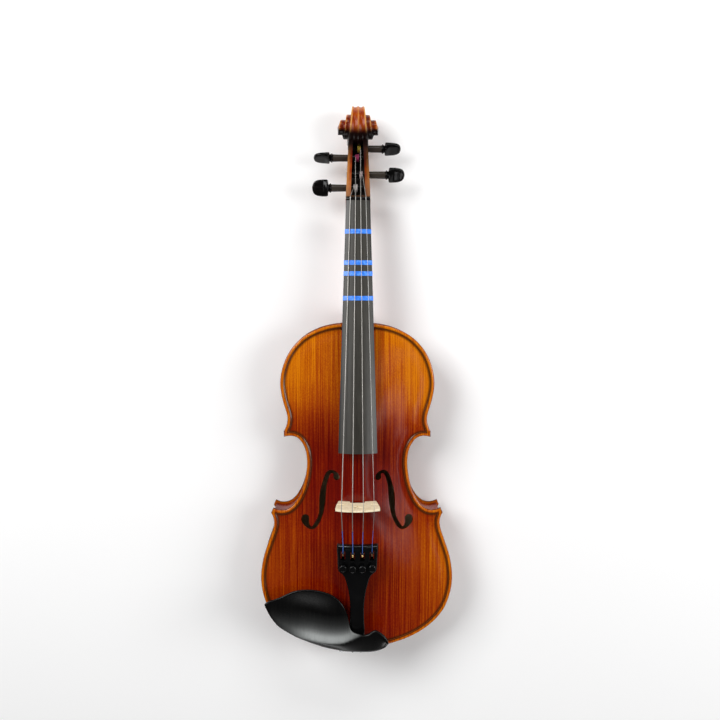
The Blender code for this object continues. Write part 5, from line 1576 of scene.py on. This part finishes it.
spots = []
for depth in (0.15, 0.45, 0.9, 1.5, 2.2, 3.2, 4.5):
    line = offset(closed_rest, depth)[:-1]
    spots += tuples(line[clear(line[:, 0], line[:, 1], rest_line, depth * 0.93)])
inner_crease = [p for p in crease_line if clear(p[:1], p[1:], rest_line, 0.4)[0]]
for shift in (-0.5, 0.0, 0.5):
    spots += [(p[0], p[1] + shift) for p in inner_crease
              if edge_distance(p[:1], p[1:] + shift, rest_line)[0] > 0.3]
gx, gy = grid(np.arange(-98, 34, 1.7), np.arange(8, 74, 1.7))
ok = clear(gx, gy, rest_line, 5.2) & (np.abs(gy - rest_crease(gx)) > 1.2)
spots += list(zip(gx[ok], gy[ok]))
rest_plate = slab("rest_plate", rest_line, [], spots, rest_top, rest_under, as_is, REST_BLACK,
                  replaces=["chin_rest"], slot="fitting_black", angle=55)
# a painted satin highlight: the black is laid grey along the inside of the crease
co = np.array([tuple(v.co) for v in rest_plate.data.vertices]) / MM
over = co[:, 1] + BODY_MID - rest_crease(co[:, 0])
satin_highlight = np.interp(co[:, 0], [-94, -80, -72, -64, -56, -48, -16, -8, 0, 5],
                   [0, 0.08, 0.17, 0.42, 0.75, 1, 1, 0.75, 0.4, 0])
satin_highlight *= np.interp(over, [-1, 0, 1.5, 5, 7, 9, 12, 15, 19, 24, 30],
                    [0, 0.42, 0.9, 0.95, 0.8, 0.5, 0.24, 0.12, 0.05, 0.02, 0])
edge = edge_distance(co[:, 0], co[:, 1] + BODY_MID, rest_line)
upper = co[:, 2] > rest_level(co[:, 0], co[:, 1] + BODY_MID, edge) - 1.0
mark(rest_plate.data, "worn", np.where(upper, satin_highlight, 0.0))
REST_FEET = ((-38.0, -21.5, 13.0, 17.8, 68.6), (21.5, 27.0, 13.0, 17.8, 71.4))
FOOT_CORNER = 2.2
for number, (x0, x1, y0, y1, top) in enumerate(REST_FEET, 1):
    pad_rings = []
    for z, grow in ((52.3, -0.4), (52.8, 0.0), (58, 0.0), (top, 0.0)):
        ring = []
        for cx, cy, a0 in ((x1, y0, -90), (x1, y1, 0), (x0, y1, 90), (x0, y0, 180)):
            sx = -FOOT_CORNER if cx == x1 else FOOT_CORNER
            sy = FOOT_CORNER if cy == y0 else -FOOT_CORNER
            r = FOOT_CORNER + grow
            for a in np.radians(np.linspace(a0, a0 + 90, 7)):
                ring.append((cx + sx + r * math.cos(a), cy + sy + r * math.sin(a), z))
        pad_rings.append(ring)
    loft("rest_foot_%d" % number, pad_rings, REST_BLACK, slot="fitting_black", angle=50)
    cork = Look("cork_%d" % number, (0.36, 0.20, 0.09), 0.85)
    cork.colour(cork.mix(cork.level(cork.noise(900.0), 0.4, 0.65), (0.42, 0.25, 0.12), (0.20, 0.10, 0.04)))
    cork_rings = [[(p[0], p[1], z) for p in pad_rings[1]] for z in (50.35, 50.6, 52.1, 52.3)]
    loft("rest_cork_%d" % number, cork_rings, cork.mat, angle=50)

CLAMP_X, CLAMP_Y = 16.5, -2.6
top_half = [(CLAMP_X, CLAMP_Y, 37.5), (CLAMP_X, CLAMP_Y, 50.2), (CLAMP_X, -1.2, 53.3), (CLAMP_X, 0.9, 57.0),
            (CLAMP_X, 3.1, 59.4), (CLAMP_X, 6.0, 60.6), (CLAMP_X - 0.5, 8.2, 62.3),
            (CLAMP_X - 2.5, 10.0, 63.3)]
low_half = [(CLAMP_X, CLAMP_Y, 34.0), (CLAMP_X, CLAMP_Y, 11.5), (CLAMP_X, -1.6, 9.0), (CLAMP_X, 1.4, 8.2),
            (CLAMP_X - 1.0, 6.0, 8.1), (CLAMP_X - 3.0, 8.2, 8.1)]
top_bar = [(-x, y, z) for x, y, z in top_half] + top_half[::-1]
low_bar = [(-x, y, z) for x, y, z in low_half] + low_half[::-1]


def eased(path, steps=6):
    """Round the corners of a bent rod."""
    p = np.array(path, float)
    out_points = [p[0]]
    for i in range(1, len(p) - 1):
        a, b = [p[i] + (q - p[i]) * min(0.45, 2.5 / np.linalg.norm(q - p[i])) for q in (p[i - 1], p[i + 1])]
        for k in range(steps + 1):
            t = k / steps
            out_points.append((1 - t) ** 2 * a + 2 * t * (1 - t) * p[i] + t * t * b)
    out_points.append(p[-1])
    return out_points


tube("clamp_top_rod", eased(top_bar), 1.5, 20, NICKEL, replaces=["clamp_top"], slot="clamp_steel", angle=60)
tube("clamp_foot_rod", eased(low_bar), 1.5, 20, NICKEL, body="clamp_foot", replaces=["clamp_foot"],
     slot="clamp_steel", angle=60)
for side, x in (("bass", -CLAMP_X), ("treble", CLAMP_X)):
    profile = [(0.0, 1.62), (0.02, 2.5), (0.35, 2.9), (6.8, 2.9), (7.0, 2.7), (7.4, 2.7), (7.6, 2.9),
               (14.4, 2.9), (14.6, 2.7), (15.0, 2.7), (15.2, 2.9), (21.65, 2.9), (21.98, 2.5), (22.0, 1.62),
               (21.8, 1.6), (0.2, 1.6)]
    rings = [ellipse((x, CLAMP_Y, 25.0 + s), (1, 0, 0), (0, 1, 0), r, r, 32) for s, r in profile]
    rings.append(rings[0])
    verts, faces = loft_data(rings, caps=False)
    piece("barrel_" + side, verts, faces, NICKEL, body="clamp_barrel_" + side,
          replaces=["clamp_barrel_" + side], slot="clamp_steel", angle=40)

# ------------------------------------------------------------------ floor
FLOOR_HALF = 3.0
FLOOR_Z = -0.0006
corners = [(sx * FLOOR_HALF, sy * FLOOR_HALF, FLOOR_Z) for sx, sy in ((-1, -1), (1, -1), (1, 1), (-1, 1))]
floor_mesh = bpy.data.meshes.new("floor")
floor_mesh.from_pydata(corners, [], [(0, 1, 2, 3)])
floor = bpy.data.objects.new("floor", floor_mesh)
bpy.context.scene.collection.objects.link(floor)
floor_look = Look("floor_paper", (0.97, 0.97, 0.97), 0.9, Specular_IOR_Level=0.05)
floor_mesh.materials.append(floor_look.mat)
